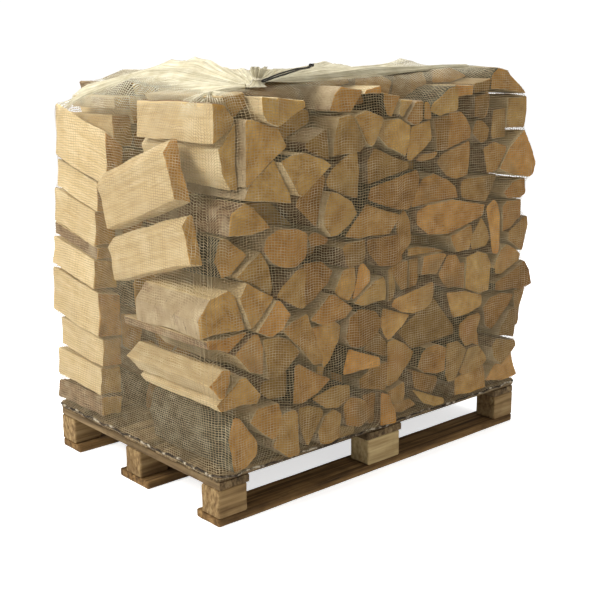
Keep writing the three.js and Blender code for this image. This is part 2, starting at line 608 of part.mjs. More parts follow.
function addNet() {
  const points = [...loadCorners(), ...deckCorners()];
  const outside = wrapAround(points, NET_CLEARANCE + NET_THICK);
  const inside = wrapAround(points, NET_CLEARANCE);
  const below = new THREE.BoxGeometry(2 * PALLET_LENGTH, 2 * PALLET_WIDTH, 2 * HEM_BOTTOM);
  addPart('net', toGeometry(outside.subtract(inside).subtract(toSolid(below))), FINISH.net);
  const clear = wrapAround(points, NET_CLEARANCE + NET_THICK + JOINT_GAP);
  addPart('net_neck', toGeometry(toSolid(neck()).subtract(clear)), FINISH.net);
}

function neck() {
  const side = NECK_PROFILE.map(([radius, height]) => new THREE.Vector2(radius, height));
  const geometry = new THREE.LatheGeometry(side, NECK.sides);
  geometry.rotateX(Math.PI / 2);
  geometry.rotateY(THREE.MathUtils.degToRad(NECK.lean));
  geometry.translate(...NECK.place);
  return geometry;
}

function addDrawstring() {
  const round = new THREE.Shape();
  round.absarc(0, 0, DRAWSTRING_DIAMETER / 2, 0, 2 * Math.PI);
  for (const [side, route] of Object.entries(STRANDS)) {
    const line = new THREE.CatmullRomCurve3(route.map((point) => new THREE.Vector3(...point)));
    addPart(`drawstring_${side}`, new THREE.ExtrudeGeometry(round, {
      steps: Math.round(line.getLength() / DRAWSTRING_STEP),
      curveSegments: DRAWSTRING_SIDES,
      extrudePath: line,
      bevelEnabled: false,
    }), FINISH.drawstring);
  }
  const knot = addPart('drawstring_knot', new THREE.SphereGeometry(KNOT_RADIUS, 10, 8), FINISH.drawstring);
  knot.position.set(...KNOT_PLACE);
}

// The back row repeats the front row's courses the other way round, past its own left column.
function addLogs() {
  const courses = FRONT_COURSES.flat();
  const behind = courses.map(mirrored).filter(({ corners }) => middleAlong(corners) > LEFT_COLUMN_WIDTH);
  const edge = LAYOUT_LEFT + LEFT_COLUMN_WIDTH * LAYOUT_SCALE;
  addRow('front_logs', courses.map((log) => makeLog(log, FRONT_ROW, true)));
  addRow('back_logs', behind.map((log) => clipped(makeLog(log, BACK_ROW, false), -1, -edge)));
  addRow('left_logs', LEFT_COLUMN.map((log) => (
    clipped(makeLog(log, BACK_ROW, false), 1, edge - LEFT_COLUMN_GAP))));
  LEANING_LOGS.forEach(addLeaningLog);
}

function clipped(log, side, limit) {
  return { ...log, outline: trimmed(log.outline, new THREE.Vector2(side, 0), limit) };
}

addPallet();
addLogs();
addNet();
addDrawstring();

export default part;
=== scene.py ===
import math

import bmesh
import bpy
import numpy as np
from mathutils import Matrix, Vector
from mathutils.bvhtree import BVHTree


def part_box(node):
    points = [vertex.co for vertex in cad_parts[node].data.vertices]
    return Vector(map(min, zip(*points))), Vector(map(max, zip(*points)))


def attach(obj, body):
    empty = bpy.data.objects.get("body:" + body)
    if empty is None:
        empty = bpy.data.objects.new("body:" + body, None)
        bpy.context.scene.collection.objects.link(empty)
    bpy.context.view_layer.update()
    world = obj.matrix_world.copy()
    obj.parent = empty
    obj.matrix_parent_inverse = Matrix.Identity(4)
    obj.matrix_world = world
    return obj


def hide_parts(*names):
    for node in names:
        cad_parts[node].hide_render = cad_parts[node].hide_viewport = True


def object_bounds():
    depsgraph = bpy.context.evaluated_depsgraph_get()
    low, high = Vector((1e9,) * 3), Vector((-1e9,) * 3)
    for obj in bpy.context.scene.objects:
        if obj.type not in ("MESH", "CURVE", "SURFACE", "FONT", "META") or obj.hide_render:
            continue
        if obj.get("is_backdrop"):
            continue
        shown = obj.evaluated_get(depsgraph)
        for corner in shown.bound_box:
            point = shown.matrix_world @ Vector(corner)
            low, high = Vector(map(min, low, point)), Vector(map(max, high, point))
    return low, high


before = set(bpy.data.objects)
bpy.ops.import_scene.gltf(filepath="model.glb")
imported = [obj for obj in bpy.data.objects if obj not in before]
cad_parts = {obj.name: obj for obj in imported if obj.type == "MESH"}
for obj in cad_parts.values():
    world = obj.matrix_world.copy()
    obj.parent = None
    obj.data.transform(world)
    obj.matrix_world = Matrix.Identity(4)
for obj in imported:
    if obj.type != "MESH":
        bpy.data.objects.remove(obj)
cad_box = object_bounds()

# A netted pallet of split birch firewood. Metres, +Z up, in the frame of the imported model: +X runs
# along the pallet's long side, and the front row's log ends face -Y.

random = np.random.default_rng(20261)

# ---- Camera and light ----------------------------------------------------------------------

CAMERA_PLACE = (-2.067, -2.378, 1.172)
CAMERA_YAW = 41.4
CAMERA_PITCH = -13.2
CAMERA_ROLL = -0.38
CAMERA_LENS = 62.5
LIGHTS_AIM = (0, 0, 0.6)

# The camera sees the world and the floor brighter than the light that they give.
WORLD_LIGHT = 0.42
WORLD_SEEN = 1.05
FLOOR_GLOW = 0.65


def add_camera():
    """The scene's camera, off the near left corner and a little above."""
    data = bpy.data.cameras.new("camera")
    data.lens = CAMERA_LENS
    data.sensor_width = 36
    camera = bpy.data.objects.new("camera", data)
    turn = Matrix.Rotation(-math.radians(CAMERA_YAW), 4, "Z")
    tilt = Matrix.Rotation(math.radians(90 + CAMERA_PITCH), 4, "X")
    roll = Matrix.Rotation(math.radians(CAMERA_ROLL), 4, "Z")
    camera.matrix_world = Matrix.Translation(CAMERA_PLACE) @ turn @ tilt @ roll
    bpy.context.collection.objects.link(camera)
    bpy.context.scene.camera = camera


def add_light(name, place, size, power, colour):
    data = bpy.data.lights.new(name, "AREA")
    data.size = size
    data.energy = power
    data.color = colour
    light = bpy.data.objects.new(name, data)
    light.location = place
    light.rotation_euler = (Vector(LIGHTS_AIM) - Vector(place)).to_track_quat("-Z", "Y").to_euler()
    bpy.context.collection.objects.link(light)


def add_studio():
    """A big key light from the left, a weaker fill, a soft top light and a white world."""
    add_light("key", (-3.8, 0.3, 3.0), 2.0, 168, (1.0, 0.98, 0.94))
    add_light("fill", (0.3, -3.9, 3.6), 2.4, 36, (1.0, 0.95, 0.86))
    add_light("top", (0.3, 1.0, 5.0), 4.0, 170, (1.0, 0.99, 0.97))
    world = bpy.data.worlds.new("studio")
    world.use_nodes = True
    tree = world.node_tree
    background = tree.nodes["Background"]
    background.inputs["Color"].default_value = (1, 1, 1, 1)
    seen = tree.nodes.new("ShaderNodeLightPath").outputs["Is Camera Ray"]
    strength = tree.nodes.new("ShaderNodeMapRange")
    strength.inputs["To Min"].default_value = WORLD_LIGHT
    strength.inputs["To Max"].default_value = WORLD_SEEN
    tree.links.new(seen, strength.inputs["Value"])
    tree.links.new(strength.outputs["Result"], background.inputs["Strength"])
    bpy.context.scene.world = world
    bpy.context.scene.view_settings.view_transform = "Standard"


def add_floor():
    """A wide pale floor, which isn't part of the object."""
    bpy.ops.mesh.primitive_plane_add(size=60)
    floor = bpy.context.object
    floor.name = "floor"
    paint = Nodes("floor")
    grain = paint.noise(paint.coordinates(), 3, 2)
    paint.surface(paint.ramp(grain, [(0, (0.94, 0.94, 0.94)), (1, (0.97, 0.97, 0.97))]), 0.9)
    seen = paint.add("ShaderNodeLightPath", {}, {}).outputs["Is Camera Ray"]
    paint.put(paint.shader.inputs["Emission Strength"], paint.times(seen, FLOOR_GLOW))
    paint.put(paint.shader.inputs["Emission Color"], (1, 1, 1, 1))
    floor.data.materials.append(paint.material)
    floor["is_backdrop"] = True


# ---- Node materials ------------------------------------------------------------------------

SPECULAR = 0.25


class Nodes:
    """Short calls that build one material's nodes."""

    def __init__(self, name):
        self.material = bpy.data.materials.new(name)
        self.material.use_nodes = True
        self.tree = self.material.node_tree
        self.shader = self.tree.nodes["Principled BSDF"]

    def add(self, kind, settings, inputs):
        node = self.tree.nodes.new(kind)
        for key, value in settings.items():
            setattr(node, key, value)
        for key, value in inputs.items():
            self.put(node.inputs[key], value)
        return node

    def put(self, socket, value):
        """Sets an input to another node's output or to a value, or leaves it alone where there is none."""
        if isinstance(value, bpy.types.NodeSocket):
            self.tree.links.new(value, socket)
        elif value is not None:
            socket.default_value = value

    def coordinates(self):
        return self.add("ShaderNodeTexCoord", {}, {}).outputs["Object"]

    def attribute(self, name, output="Vector"):
        return self.add("ShaderNodeAttribute", {"attribute_name": name}, {}).outputs[output]

    def math(self, operation, a, b=0.0, clamp=False, kind="ShaderNodeMath"):
        settings = {"operation": operation}
        if clamp:
            settings["use_clamp"] = True
        return self.add(kind, settings, {0: a, 1: b}).outputs[0]

    def times(self, a, b, clamp=False):
        return self.math("MULTIPLY", a, b, clamp)

    def plus(self, a, b):
        return self.math("ADD", a, b)

    def stretch(self, vector, scale):
        return self.math("MULTIPLY", vector, scale, kind="ShaderNodeVectorMath")

    def shift(self, vector, other):
        return self.math("ADD", vector, other, kind="ShaderNodeVectorMath")

    def parts(self, vector):
        return self.add("ShaderNodeSeparateXYZ", {}, {"Vector": vector}).outputs

    def noise(self, vector, scale, detail=3.0, roughness=0.5):
        inputs = {"Vector": vector, "Scale": scale, "Detail": detail, "Roughness": roughness}
        return self.add("ShaderNodeTexNoise", {}, inputs).outputs["Fac"]

    def ramp(self, value, stops):
        node = self.add("ShaderNodeValToRGB", {}, {"Fac": value})
        ramp = node.color_ramp
        while len(ramp.elements) < len(stops):
            ramp.elements.new(0.5)
        for element, (place, colour) in zip(ramp.elements, stops):
            element.position = place
            element.color = (*colour, 1)
        return node.outputs["Color"]

    def curve(self, value, low, high, to_low=0.0, to_high=1.0):
        inputs = {0: value, 1: low, 2: high, 3: to_low, 4: to_high}
        return self.add("ShaderNodeMapRange", {"clamp": True}, inputs).outputs["Result"]

    def mix(self, share, a, b, blend="MIX"):
        colours = [c if isinstance(c, bpy.types.NodeSocket) else (*c, 1) for c in (a, b)]
        settings = {"data_type": "RGBA", "blend_type": blend}
        return self.add("ShaderNodeMix", settings, {0: share, 6: colours[0], 7: colours[1]}).outputs[2]

    def streaks(self, vector, scale, detail, roughness=0.5):
        """Noise that is stretched by its own scale each way."""
        return self.noise(self.stretch(vector, scale), 1.0, detail, roughness)

    def patches(self, colour, value, low, high, share, other):
        """Up to that share of another colour as the value goes from low to high."""
        return self.mix(self.curve(value, low, high, 0.0, share), colour, other)

    def shaded(self, colour, value, stops):
        """The colour, multiplied by a ramp."""
        return self.mix(1.0, colour, self.ramp(value, stops), "MULTIPLY")

    def bump(self, height, strength, distance, under=None):
        inputs = {"Height": height, "Strength": strength, "Distance": distance, "Normal": under}
        return self.add("ShaderNodeBump", {}, inputs).outputs["Normal"]

    def surface(self, colour, roughness, normal=None, alpha=None):
        inputs = {"Base Color": colour, "Roughness": roughness, "Specular IOR Level": SPECULAR,
                  "Normal": normal, "Alpha": alpha}
        for name, value in inputs.items():
            self.put(self.shader.inputs[name], value)


def end_grain():
    """The sawn end of a log: mottled tan, faint rings and rays, browner heartwood, fine saw marks."""
    paint = Nodes("birch_end_grain")
    grain = paint.attribute("grain")
    tint = paint.parts(paint.attribute("tint"))
    place = paint.shift(grain, paint.stretch(paint.attribute("tint"), (3.1, 1.7, 2.3)))
    across, _, up = paint.parts(grain)
    radius = paint.math("SQRT", paint.plus(paint.times(across, across), paint.times(up, up)))
    mottle = paint.noise(place, 22, 4, 0.6)
    broad = paint.noise(place, 9, 2)
    rings = paint.math("SINE", paint.times(paint.plus(radius, paint.times(broad, 0.02)), 1900))
    angle = paint.math("ARCTAN2", up, across)
    ray_place = {0: paint.times(angle, 26), 1: paint.times(radius, 30), 2: tint[0]}
    rays = paint.noise(paint.add("ShaderNodeCombineXYZ", {}, ray_place).outputs[0], 1.0, 3)
    saw = paint.streaks(paint.shift(place, (0.2, 0, 0.1)), (260, 5, 18), 2)
    colour = paint.ramp(mottle, [
        (0.25, (0.21, 0.10, 0.026)), (0.42, (0.34, 0.182, 0.050)),
        (0.6, (0.45, 0.262, 0.078)), (0.78, (0.60, 0.385, 0.135))])
    colour = paint.mix(paint.curve(rings, -1, 1, 0.0, 0.12), colour, (0.36, 0.2, 0.07))
    colour = paint.patches(colour, rays, 0.45, 0.75, 0.35, (0.56, 0.38, 0.17))
    heart_reach = paint.curve(paint.plus(radius, paint.times(broad, 0.05)), 0.03, 0.085, 1, 0)
    heart = paint.times(heart_reach, tint[1], clamp=True)
    colour = paint.mix(paint.times(heart, 0.75), colour, (0.36, 0.155, 0.05))
    rim = paint.times(paint.attribute("rim", "Fac"), paint.curve(mottle, 0.35, 0.6, 0.8, 0.25))
    colour = paint.patches(colour, rim, 0.55, 1.0, 0.55, (0.14, 0.075, 0.033))
    colour = paint.shaded(colour, tint[0], [
        (0.1, (1.10, 0.94, 0.72)), (0.5, (1.03, 0.98, 0.84)), (0.9, (0.96, 1.0, 0.92))])
    cracks = paint.times(paint.curve(rays, 0.34, 0.28), paint.curve(mottle, 0.5, 0.6))
    colour = paint.mix(paint.times(cracks, 0.85), colour, (0.075, 0.04, 0.018))
    stain = paint.noise(place, 5, 3)
    colour = paint.patches(colour, stain, 0.55, 0.68, 0.5, (0.20, 0.15, 0.075))
    colour = paint.shaded(colour, tint[2], [
        (0, (0.5, 0.46, 0.42)), (0.5, (0.88, 0.86, 0.84)), (1, (1.25, 1.25, 1.2))])
    normal = paint.bump(saw, 0.35, 0.0012)
    normal = paint.bump(mottle, 0.5, 0.003, normal)
    normal = paint.bump(rays, 0.25, 0.0015, normal)
    paint.surface(colour, paint.curve(mottle, 0.3, 0.7, 0.92, 0.74), normal)
    return paint.material


def split_face():
    """A split side: pale cream wood with long fibres, torn splinters and grey or tan stains."""
    paint = Nodes("birch_split_face")
    grain = paint.attribute("grain")
    tint = paint.parts(paint.attribute("tint"))
    place = paint.shift(grain, paint.stretch(paint.attribute("tint"), (2.3, 3.1, 1.7)))
    fibre = paint.streaks(place, (150, 5.5, 150), 4, 0.65)
    torn = paint.streaks(place, (48, 3.2, 48), 3, 0.6)
    stain = paint.noise(place, 7, 3)
    colour = paint.ramp(fibre, [
        (0.3, (0.405, 0.29, 0.14)), (0.5, (0.49, 0.37, 0.195)), (0.75, (0.57, 0.455, 0.27))])
    colour = paint.patches(colour, torn, 0.55, 0.75, 0.55, (0.46, 0.32, 0.155))
    colour = paint.patches(colour, stain, 0.52, 0.72, 0.55, (0.42, 0.33, 0.20))
    colour = paint.patches(colour, stain, 0.46, 0.3, 0.35, (0.74, 0.65, 0.44))
    colour = paint.shaded(colour, tint[2], [
        (0, (0.62, 0.58, 0.54)), (0.5, (0.93, 0.91, 0.88)), (1, (1.42, 1.46, 1.50))])
    normal = paint.bump(torn, 0.7, 0.006)
    normal = paint.bump(fibre, 0.55, 0.0025, normal)
    paint.surface(colour, paint.curve(fibre, 0.3, 0.7, 0.88, 0.66), normal)
    return paint.material


def birch_bark():
    """White birch bark, with dark lenticels across the log and brown tears."""
    paint = Nodes("birch_bark")
    grain = paint.attribute("grain")
    lines = paint.streaks(grain, (22, 150, 22), 3, 0.7)
    patch = paint.noise(grain, 13, 4, 0.6)
    flake = paint.streaks(grain, (18, 26, 18), 3)
    colour = paint.ramp(flake, [
        (0.25, (0.27, 0.19, 0.10)), (0.5, (0.36, 0.27, 0.155)), (0.8, (0.50, 0.40, 0.25))])
    colour = paint.patches(colour, lines, 0.60, 0.68, 0.85, (0.09, 0.07, 0.055))
    colour = paint.patches(colour, patch, 0.56, 0.64, 0.8, (0.23, 0.145, 0.09))
    normal = paint.bump(lines, 0.5, 0.002)
    normal = paint.bump(patch, 0.7, 0.004, normal)
    paint.surface(colour, paint.curve(lines, 0.5, 0.7, 0.5, 0.85), normal)
    return paint.material


def mossy_bark():
    """Old grey-green bark, furrowed along the log."""
    paint = Nodes("mossy_bark")
    grain = paint.attribute("grain")
    furrow = paint.streaks(grain, (70, 14, 70), 4, 0.7)
    patch = paint.noise(grain, 18, 4, 0.65)
    colour = paint.ramp(furrow, [
        (0.3, (0.012, 0.011, 0.007)), (0.5, (0.04, 0.037, 0.023)), (0.72, (0.11, 0.10, 0.062))])
    colour = paint.patches(colour, patch, 0.52, 0.62, 0.6, (0.13, 0.12, 0.08))
    colour = paint.patches(colour, patch, 0.42, 0.34, 0.6, (0.07, 0.042, 0.024))
    paint.surface(colour, 0.92, paint.bump(furrow, 0.9, 0.006))
    return paint.material


def brown_bark():
    """Brown inner bark and thin old bark."""
    paint = Nodes("brown_bark")
    grain = paint.attribute("grain")
    furrow = paint.streaks(grain, (60, 22, 60), 4, 0.65)
    patch = paint.noise(grain, 16, 3)
    colour = paint.ramp(furrow, [
        (0.3, (0.075, 0.045, 0.026)), (0.55, (0.20, 0.125, 0.07)), (0.75, (0.30, 0.20, 0.11))])
    colour = paint.patches(colour, patch, 0.55, 0.65, 0.7, (0.30, 0.235, 0.15))
    paint.surface(colour, 0.9, paint.bump(furrow, 0.8, 0.004))
    return paint.material


def board_wood(name, dark, middle, pale):
    """Rough-sawn softwood: grain along the board, with dirt in patches."""
    paint = Nodes(name)
    grain = paint.attribute("grain")
    place = paint.shift(grain, paint.attribute("tint"))
    streak = paint.streaks(place, (3, 90, 55), 4, 0.6)
    saw = paint.streaks(place, (120, 6, 6), 2)
    dirt = paint.noise(place, 6, 4, 0.65)
    colour = paint.ramp(streak, [(0.3, dark), (0.5, middle), (0.72, pale)])
    colour = paint.mix(paint.curve(dirt, 0.5, 0.68, 0.0, 0.65), colour, dark)
    normal = paint.bump(streak, 0.6, 0.002)
    normal = paint.bump(saw, 0.25, 0.001, normal)
    paint.surface(colour, paint.curve(dirt, 0.35, 0.65, 0.8, 0.93), normal)
    return paint.material


# ---- Pieces --------------------------------------------------------------------------------


def new_piece(name, places, faces, materials, smooth=False, **vectors):
    """A piece that rides the root, with its finishes and any vectors that its points carry."""
    mesh = bpy.data.meshes.new(name)
    mesh.from_pydata(places.tolist(), [], faces)
    for material in materials:
        mesh.materials.append(material)
    if smooth:
        mesh.polygons.foreach_set("use_smooth", [True] * len(faces))
    for label, rows in vectors.items():
        values = mesh.attributes.new(label, "FLOAT_VECTOR", "POINT")
        values.data.foreach_set("vector", rows.astype(np.float32).ravel())
    piece = bpy.data.objects.new(name, mesh)
    bpy.context.collection.objects.link(piece)
    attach(piece, "root")
    return piece


def grid_faces(rows, columns, round_rows=False, round_columns=False):
    """The faces of a grid of points, which may close on itself either way."""
    faces = []
    for row in range(rows if round_rows else rows - 1):
        here, above = row * columns, (row + 1) % rows * columns
        for i in range(columns if round_columns else columns - 1):
            k = (i + 1) % columns
            faces.append((here + i, here + k, above + k, above + i))
    return faces


def stands_for(piece, node):
    """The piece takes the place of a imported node."""
    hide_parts(node)
    return piece


# ---- Logs ----------------------------------------------------------------------------------

END, SPLIT, BARK, WHITE_BARK, MOSSY_BARK = range(5)
OUTER_REACH = 0.06
SMALLEST_END = 0.0006
SMALLEST_RISE = 0.04
RING_STEP = 0.016
BARK_EASE = 2
MOST_EASE = 0.4
# The share of inner logs with bark all round: real bark, also used as painted shade in the gaps between
# logs.
INNER_BARK_SHARE_FOR_GAP_SHADE = 0.5
BARK_REACH = 0.8
SHARP_TURN = math.radians(8)
WEDGE_TURN = math.radians(75)
PITH_BEYOND = 0.12
SAME_WAY = 0.99
SIDE_WAVES = (5, 0.22, 0.035)
END_WAVES = (4, 0.12, 0.02)
END_EASE = 0.004
END_WEAR = 0.0015
END_TILT_ACROSS = 0.12
CAP_SHARES = (0.93, 0.62, 0.3)
CAP_WAVE, CAP_BULGE = 0.0012, 0.001

# The logs at the near left corner, by the middle of their ends.
NEAR_LEFT = -0.5
MOSSY_LOG_HEIGHTS = (0.17, 0.26)
MOSSY_BELOW = 0.28
WHITE_LOG_HEIGHTS = (0.5, 0.62)

# How pale a log may be, from 0 to 1, by where it lies. Within each range the tone is the log's own; the
# left column's paler range is painted light on the left face, where the key light falls.
LEFT_COLUMN_PAINTED_LIGHT_SHADES = (0.78, 1)
NEAR_LEFT_SHADES = (0.45, 0.75)
OTHER_SHADES = (0.0, 0.95)


def patches_facing_y(bm):
    """The flat log ends in a joined group: faces that look along Y and touch at one level."""
    seen = set()
    for start in bm.faces:
        if start in seen or abs(start.normal.y) < SAME_WAY:
            continue
        patch, queue = [], [start]
        seen.add(start)
        while queue:
            face = queue.pop()
            patch.append(face)
            near = {other for edge in face.edges for other in edge.link_faces}
            for other in near - seen:
                if other.normal.dot(start.normal) > SAME_WAY:
                    seen.add(other)
                    queue.append(other)
        yield patch


def outline_round(points):
    """The convex outline of 2-D points, anticlockwise, without its nearly straight corners."""
    points = sorted(set(points))
    chains = []
    for order in (points, points[::-1]):
        chain = []
        for p in order:
            while len(chain) > 1 and cross(chain[-2], chain[-1], p) <= 0:
                chain.pop()
            chain.append(p)
        chains.append(chain[:-1])
    loop = [np.array(p) for p in chains[0] + chains[1]]
    return [p for i, p in enumerate(loop) if turn_at(loop, i) > SHARP_TURN]


def cross(o, a, b):
    return (a[0] - o[0]) * (b[1] - o[1]) - (a[1] - o[1]) * (b[0] - o[0])


def turn_at(loop, i):
    before = loop[i] - loop[i - 1]
    after = loop[(i + 1) % len(loop)] - loop[i]
    size = np.linalg.norm(before) * np.linalg.norm(after)
    return math.acos(max(-1.0, min(1.0, float(before @ after) / max(size, 1e-12))))


def logs_of(node):
    """Every log of a joined group, as its outline across X and Z and its two ends along Y."""
    bm = bmesh.new()
    bm.from_mesh(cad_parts[node].data)
    bmesh.ops.remove_doubles(bm, verts=bm.verts, dist=1e-6)
    bm.normal_update()
    near_ends, far_ends = [], []
    for patch in patches_facing_y(bm):
        if sum(face.calc_area() for face in patch) < SMALLEST_END:
            continue
        corners = {(v.co.x, v.co.z) for face in patch for v in face.verts}
        end = (patch[0].verts[0].co.y, outline_round(corners))
        (near_ends if patch[0].normal.y < 0 else far_ends).append(end)
    bm.free()
    if node.startswith("left_logs"):
        pairs = zip(sorted(near_ends, key=height_of), sorted(far_ends, key=height_of))
    else:
        pairs = ((end, min(far_ends, key=lambda other: gap_between(other, end))) for end in near_ends)
    logs = []
    for near_end, far_end in pairs:
        rise = (height_of(far_end) - height_of(near_end)) / (far_end[0] - near_end[0])
        logs.append((near_end[1], near_end[0], far_end[0], rise if abs(rise) > SMALLEST_RISE else 0.0))
    return logs


def height_of(end):
    return float(np.mean(end[1], axis=0)[1])


def gap_between(end, other):
    return float(np.linalg.norm(np.mean(end[1], axis=0) - np.mean(other[1], axis=0)))


def pith_of(outline):
    """Where the tree's middle was: just past a wedge's sharpest corner, or else in the log's middle."""
    sharpest = max(range(len(outline)), key=lambda i: turn_at(outline, i))
    middle = np.mean(outline, axis=0)
    if turn_at(outline, sharpest) < WEDGE_TURN:
        return middle
    return outline[sharpest] + PITH_BEYOND * (outline[sharpest] - middle)


def bark_edges(outline, pith):
    """Which edges are bark: those that lie farthest from the pith at both ends."""
    reach = [np.linalg.norm(p - pith) for p in outline]
    limit = BARK_REACH * max(reach)
    count = len(outline)
    return [reach[i] > limit and reach[(i + 1) % count] > limit for i in range(count)]


def ring_of(outline, bark, inset, rounding):
    """Points round a log's outline, a little inside it, its corners eased and its bark side round."""
    middle = np.mean(outline, axis=0)
    count = len(outline)
    points, kinds = [], []
    for i in range(count):
        a, b = outline[i], outline[(i + 1) % count]
        length = np.linalg.norm(b - a)
        steps = max(2, round(length / RING_STEP))
        eases = [rounding * (BARK_EASE if bark[i] and bark[j] else 1) for j in (i - 1, (i + 1) % count)]
        first, last = (min(MOST_EASE, ease / length) for ease in eases)
        for t in np.linspace(first, 1 - last, steps):
            points.append(a + (b - a) * t)
            kinds.append(bark[i])
    ring = np.array(points)
    inward = middle - ring
    inward /= np.linalg.norm(inward, axis=1)[:, None]
    return ring + inward * inset, inward, kinds


def waves(count, longest, shortest):
    """A few sine waves in two directions, which add up to a smooth, uneven surface."""
    lengths = np.geomspace(longest, shortest, count)
    turns = random.uniform(0, math.tau, count)
    phases = random.uniform(0, math.tau, count)
    return [(math.tau / w * math.cos(a), math.tau / w * math.sin(a), p, w / longest)
            for w, a, p in zip(lengths, turns, phases)]


def wavy(field, u, v):
    return sum(size * np.sin(ku * u + kv * v + phase) for ku, kv, phase, size in field)


class Shape:
    """Vertices, faces and attributes of one piece, gathered log by log."""

    def __init__(self):
        self.places, self.faces, self.kinds = [], [], []
        self.grain, self.tint, self.rim = [], [], []
        self.count = 0

    def add(self, places, faces, kinds, grain, tint, rim):
        self.places.append(places)
        self.faces += [tuple(i + self.count for i in face) for face in faces]
        self.kinds += kinds
        self.grain.append(grain)
        self.tint.append(np.tile(tint, (len(places), 1)))
        self.rim.append(rim)
        self.count += len(places)

    def build(self, name, materials):
        places, grain, tint = (np.concatenate(rows) for rows in (self.places, self.grain, self.tint))
        piece = new_piece(name, places, self.faces, materials, grain=grain, tint=tint)
        piece.data.polygons.foreach_set("material_index", self.kinds)
        edge = piece.data.attributes.new("rim", "FLOAT", "POINT")
        edge.data.foreach_set("value", np.concatenate(self.rim).astype(np.float32))
        return piece


def uneven_rows(ring, inward, levels, rough):
    """The ring at each level, moved in by a smooth unevenness and a little more at both ends."""
    arc = np.concatenate([[0], np.cumsum(np.linalg.norm(np.diff(ring, axis=0), axis=1))])
    field = waves(*SIDE_WAVES)
    rows = []
    for index, level in enumerate(levels):
        worn = END_WEAR if index in (0, len(levels) - 1) else 0.0
        depth = rough * (0.75 + 0.5 * wavy(field, arc, level)) + worn
        rows.append(ring + inward * np.clip(depth, 0, None)[:, None])
    return rows


def cap_rings(row, middle, level, sign, tilt, cap):
    """The rings of points across a log's end and its middle, each with its share of the way out."""
    for share in CAP_SHARES:
        inner = middle + (row - middle) * share
        lean = (inner - middle) @ tilt * sign
        bulge = CAP_WAVE * wavy(cap, inner[:, 0], inner[:, 1]) - CAP_BULGE * sign
        yield share, np.column_stack([inner[:, 0], level + lean + bulge, inner[:, 1]])
    yield 0.0, np.array([[middle[0], level, middle[1]]])


def cap_faces(before, after, around, at_middle, sign):
    """The faces of a log's end between two of its rings, or between its last ring and its middle."""
    faces = []
    for i in range(around):
        k = (i + 1) % around
        face = (before + k, before + i) + ((after,) if at_middle else (after + i, after + k))
        faces.append(face if sign > 0 else face[::-1])
    return faces


def add_log(shape, outline, near, far, tint, inset=0.0012, rounding=0.0025, rough=0.0022, step=0.03,
            place=None, bark_kind=BARK, all_bark=False, end_kind=END, end_tilt=0.004):
    """One log from its outline across X and Z, or in its own frame where place is a matrix."""
    pith = pith_of(outline)
    bark = [True] * len(outline) if all_bark else bark_edges(outline, pith)
    ring, inward, kinds = ring_of(outline, bark, inset, rounding)
    around = len(ring)
    between = np.linspace(near + END_EASE, far - END_EASE, max(2, round((far - near) / step)))
    levels = np.concatenate([[near], between, [far]])
    rows = uneven_rows(ring, inward, levels, rough)
    tilt = random.uniform(-1, 1, 2) * end_tilt / END_TILT_ACROSS
    middle = ring.mean(axis=0)
    places = []
    for row, level in zip(rows, levels):
        sign = (level == near) - float(level == far)
        places.append(np.column_stack([row[:, 0], level + (row - middle) @ tilt * sign, row[:, 1]]))
    rims = [np.ones(around)] * len(levels)
    faces = grid_faces(len(levels), around, round_columns=True)
    face_kinds = []
    for i in range(around):
        barky = kinds[i] or (kinds[(i + 1) % around] and kinds[i - 1])
        face_kinds.append(bark_kind if barky else SPLIT)
    face_kinds *= len(levels) - 1
    total = len(levels) * around
    cap = waves(*END_WAVES)
    for row, level, sign, before in ((rows[0], near, 1, 0), (rows[-1], far, -1, total - around)):
        for share, points in cap_rings(row, middle, level, sign, tilt, cap):
            places.append(points)
            rims.append(np.full(len(points), share))
            faces += cap_faces(before, total, around, len(points) == 1, sign)
            face_kinds += [end_kind] * around
            before = total
            total += len(points)
    places = np.concatenate(places)
    grain = places - np.array([pith[0], 0, pith[1]])
    if place is not None:
        turn = np.array(place)
        places = places @ turn[:3, :3].T + turn[:3, 3]
    shape.add(places, faces, face_kinds, grain, tint, np.concatenate(rims))


def log_tint(heart=None, shade=None):
    """Each log's own place in the noise, how brown its heart is, and its shade."""
    own = random.uniform(0, 1)
    heart = random.uniform(0, 1) ** 2 if heart is None else heart
    shade = random.uniform(0.15, 1) if shade is None else shade
    return np.array([own, heart, shade])


def log_look(node, outline):
    """One log's own settings: its tint, its bark, and how uneven it is."""
    middle = np.mean(outline, axis=0)
    left_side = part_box("stringer_left")[0].x
    right_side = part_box("stringer_right")[1].x
    across = [p[0] for p in outline]
    outermost = min(across) < left_side + OUTER_REACH or max(across) > right_side - OUTER_REACH
    in_left_column = node.startswith("left_logs")
    at_left = middle[0] < left_side + 2 * OUTER_REACH
    # The left column is painted paler: painted light on the lit left face, on top of each log's own tone.
    shades = LEFT_COLUMN_PAINTED_LIGHT_SHADES if in_left_column else NEAR_LEFT_SHADES if at_left else OTHER_SHADES
    shade = random.uniform(*shades)
    # A share of the inner logs keeps bark all round. It is real bark, and it also darkens the gaps between
    # logs as painted shade, since their sides show only there.
    barky = not outermost and random.uniform(0, 1) < INNER_BARK_SHARE_FOR_GAP_SHADE
    return {
        "tint": log_tint(shade=shade),
        "step": 0.02 if outermost else 0.06,
        "rough": 0.004 if outermost else 0.0014,
        "bark_kind": BARK if in_left_column else bark_for(middle),
        "all_bark": mossy_corner(outline) or barky,
    }


def add_log_groups(finishes):
    """Every log of both rows, by itself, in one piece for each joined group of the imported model."""
    pieces = []
    for node in sorted(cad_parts):
        if not node.startswith(("front_logs", "back_logs", "left_logs")):
            continue
        shape = Shape()
        for outline, near, far, rise in logs_of(node):
            add_log(shape, outline, near, far, place=sloped(near, rise), **log_look(node, outline))
        pieces.append(stands_for(shape.build(f"{node}_split", finishes), node))
    return pieces


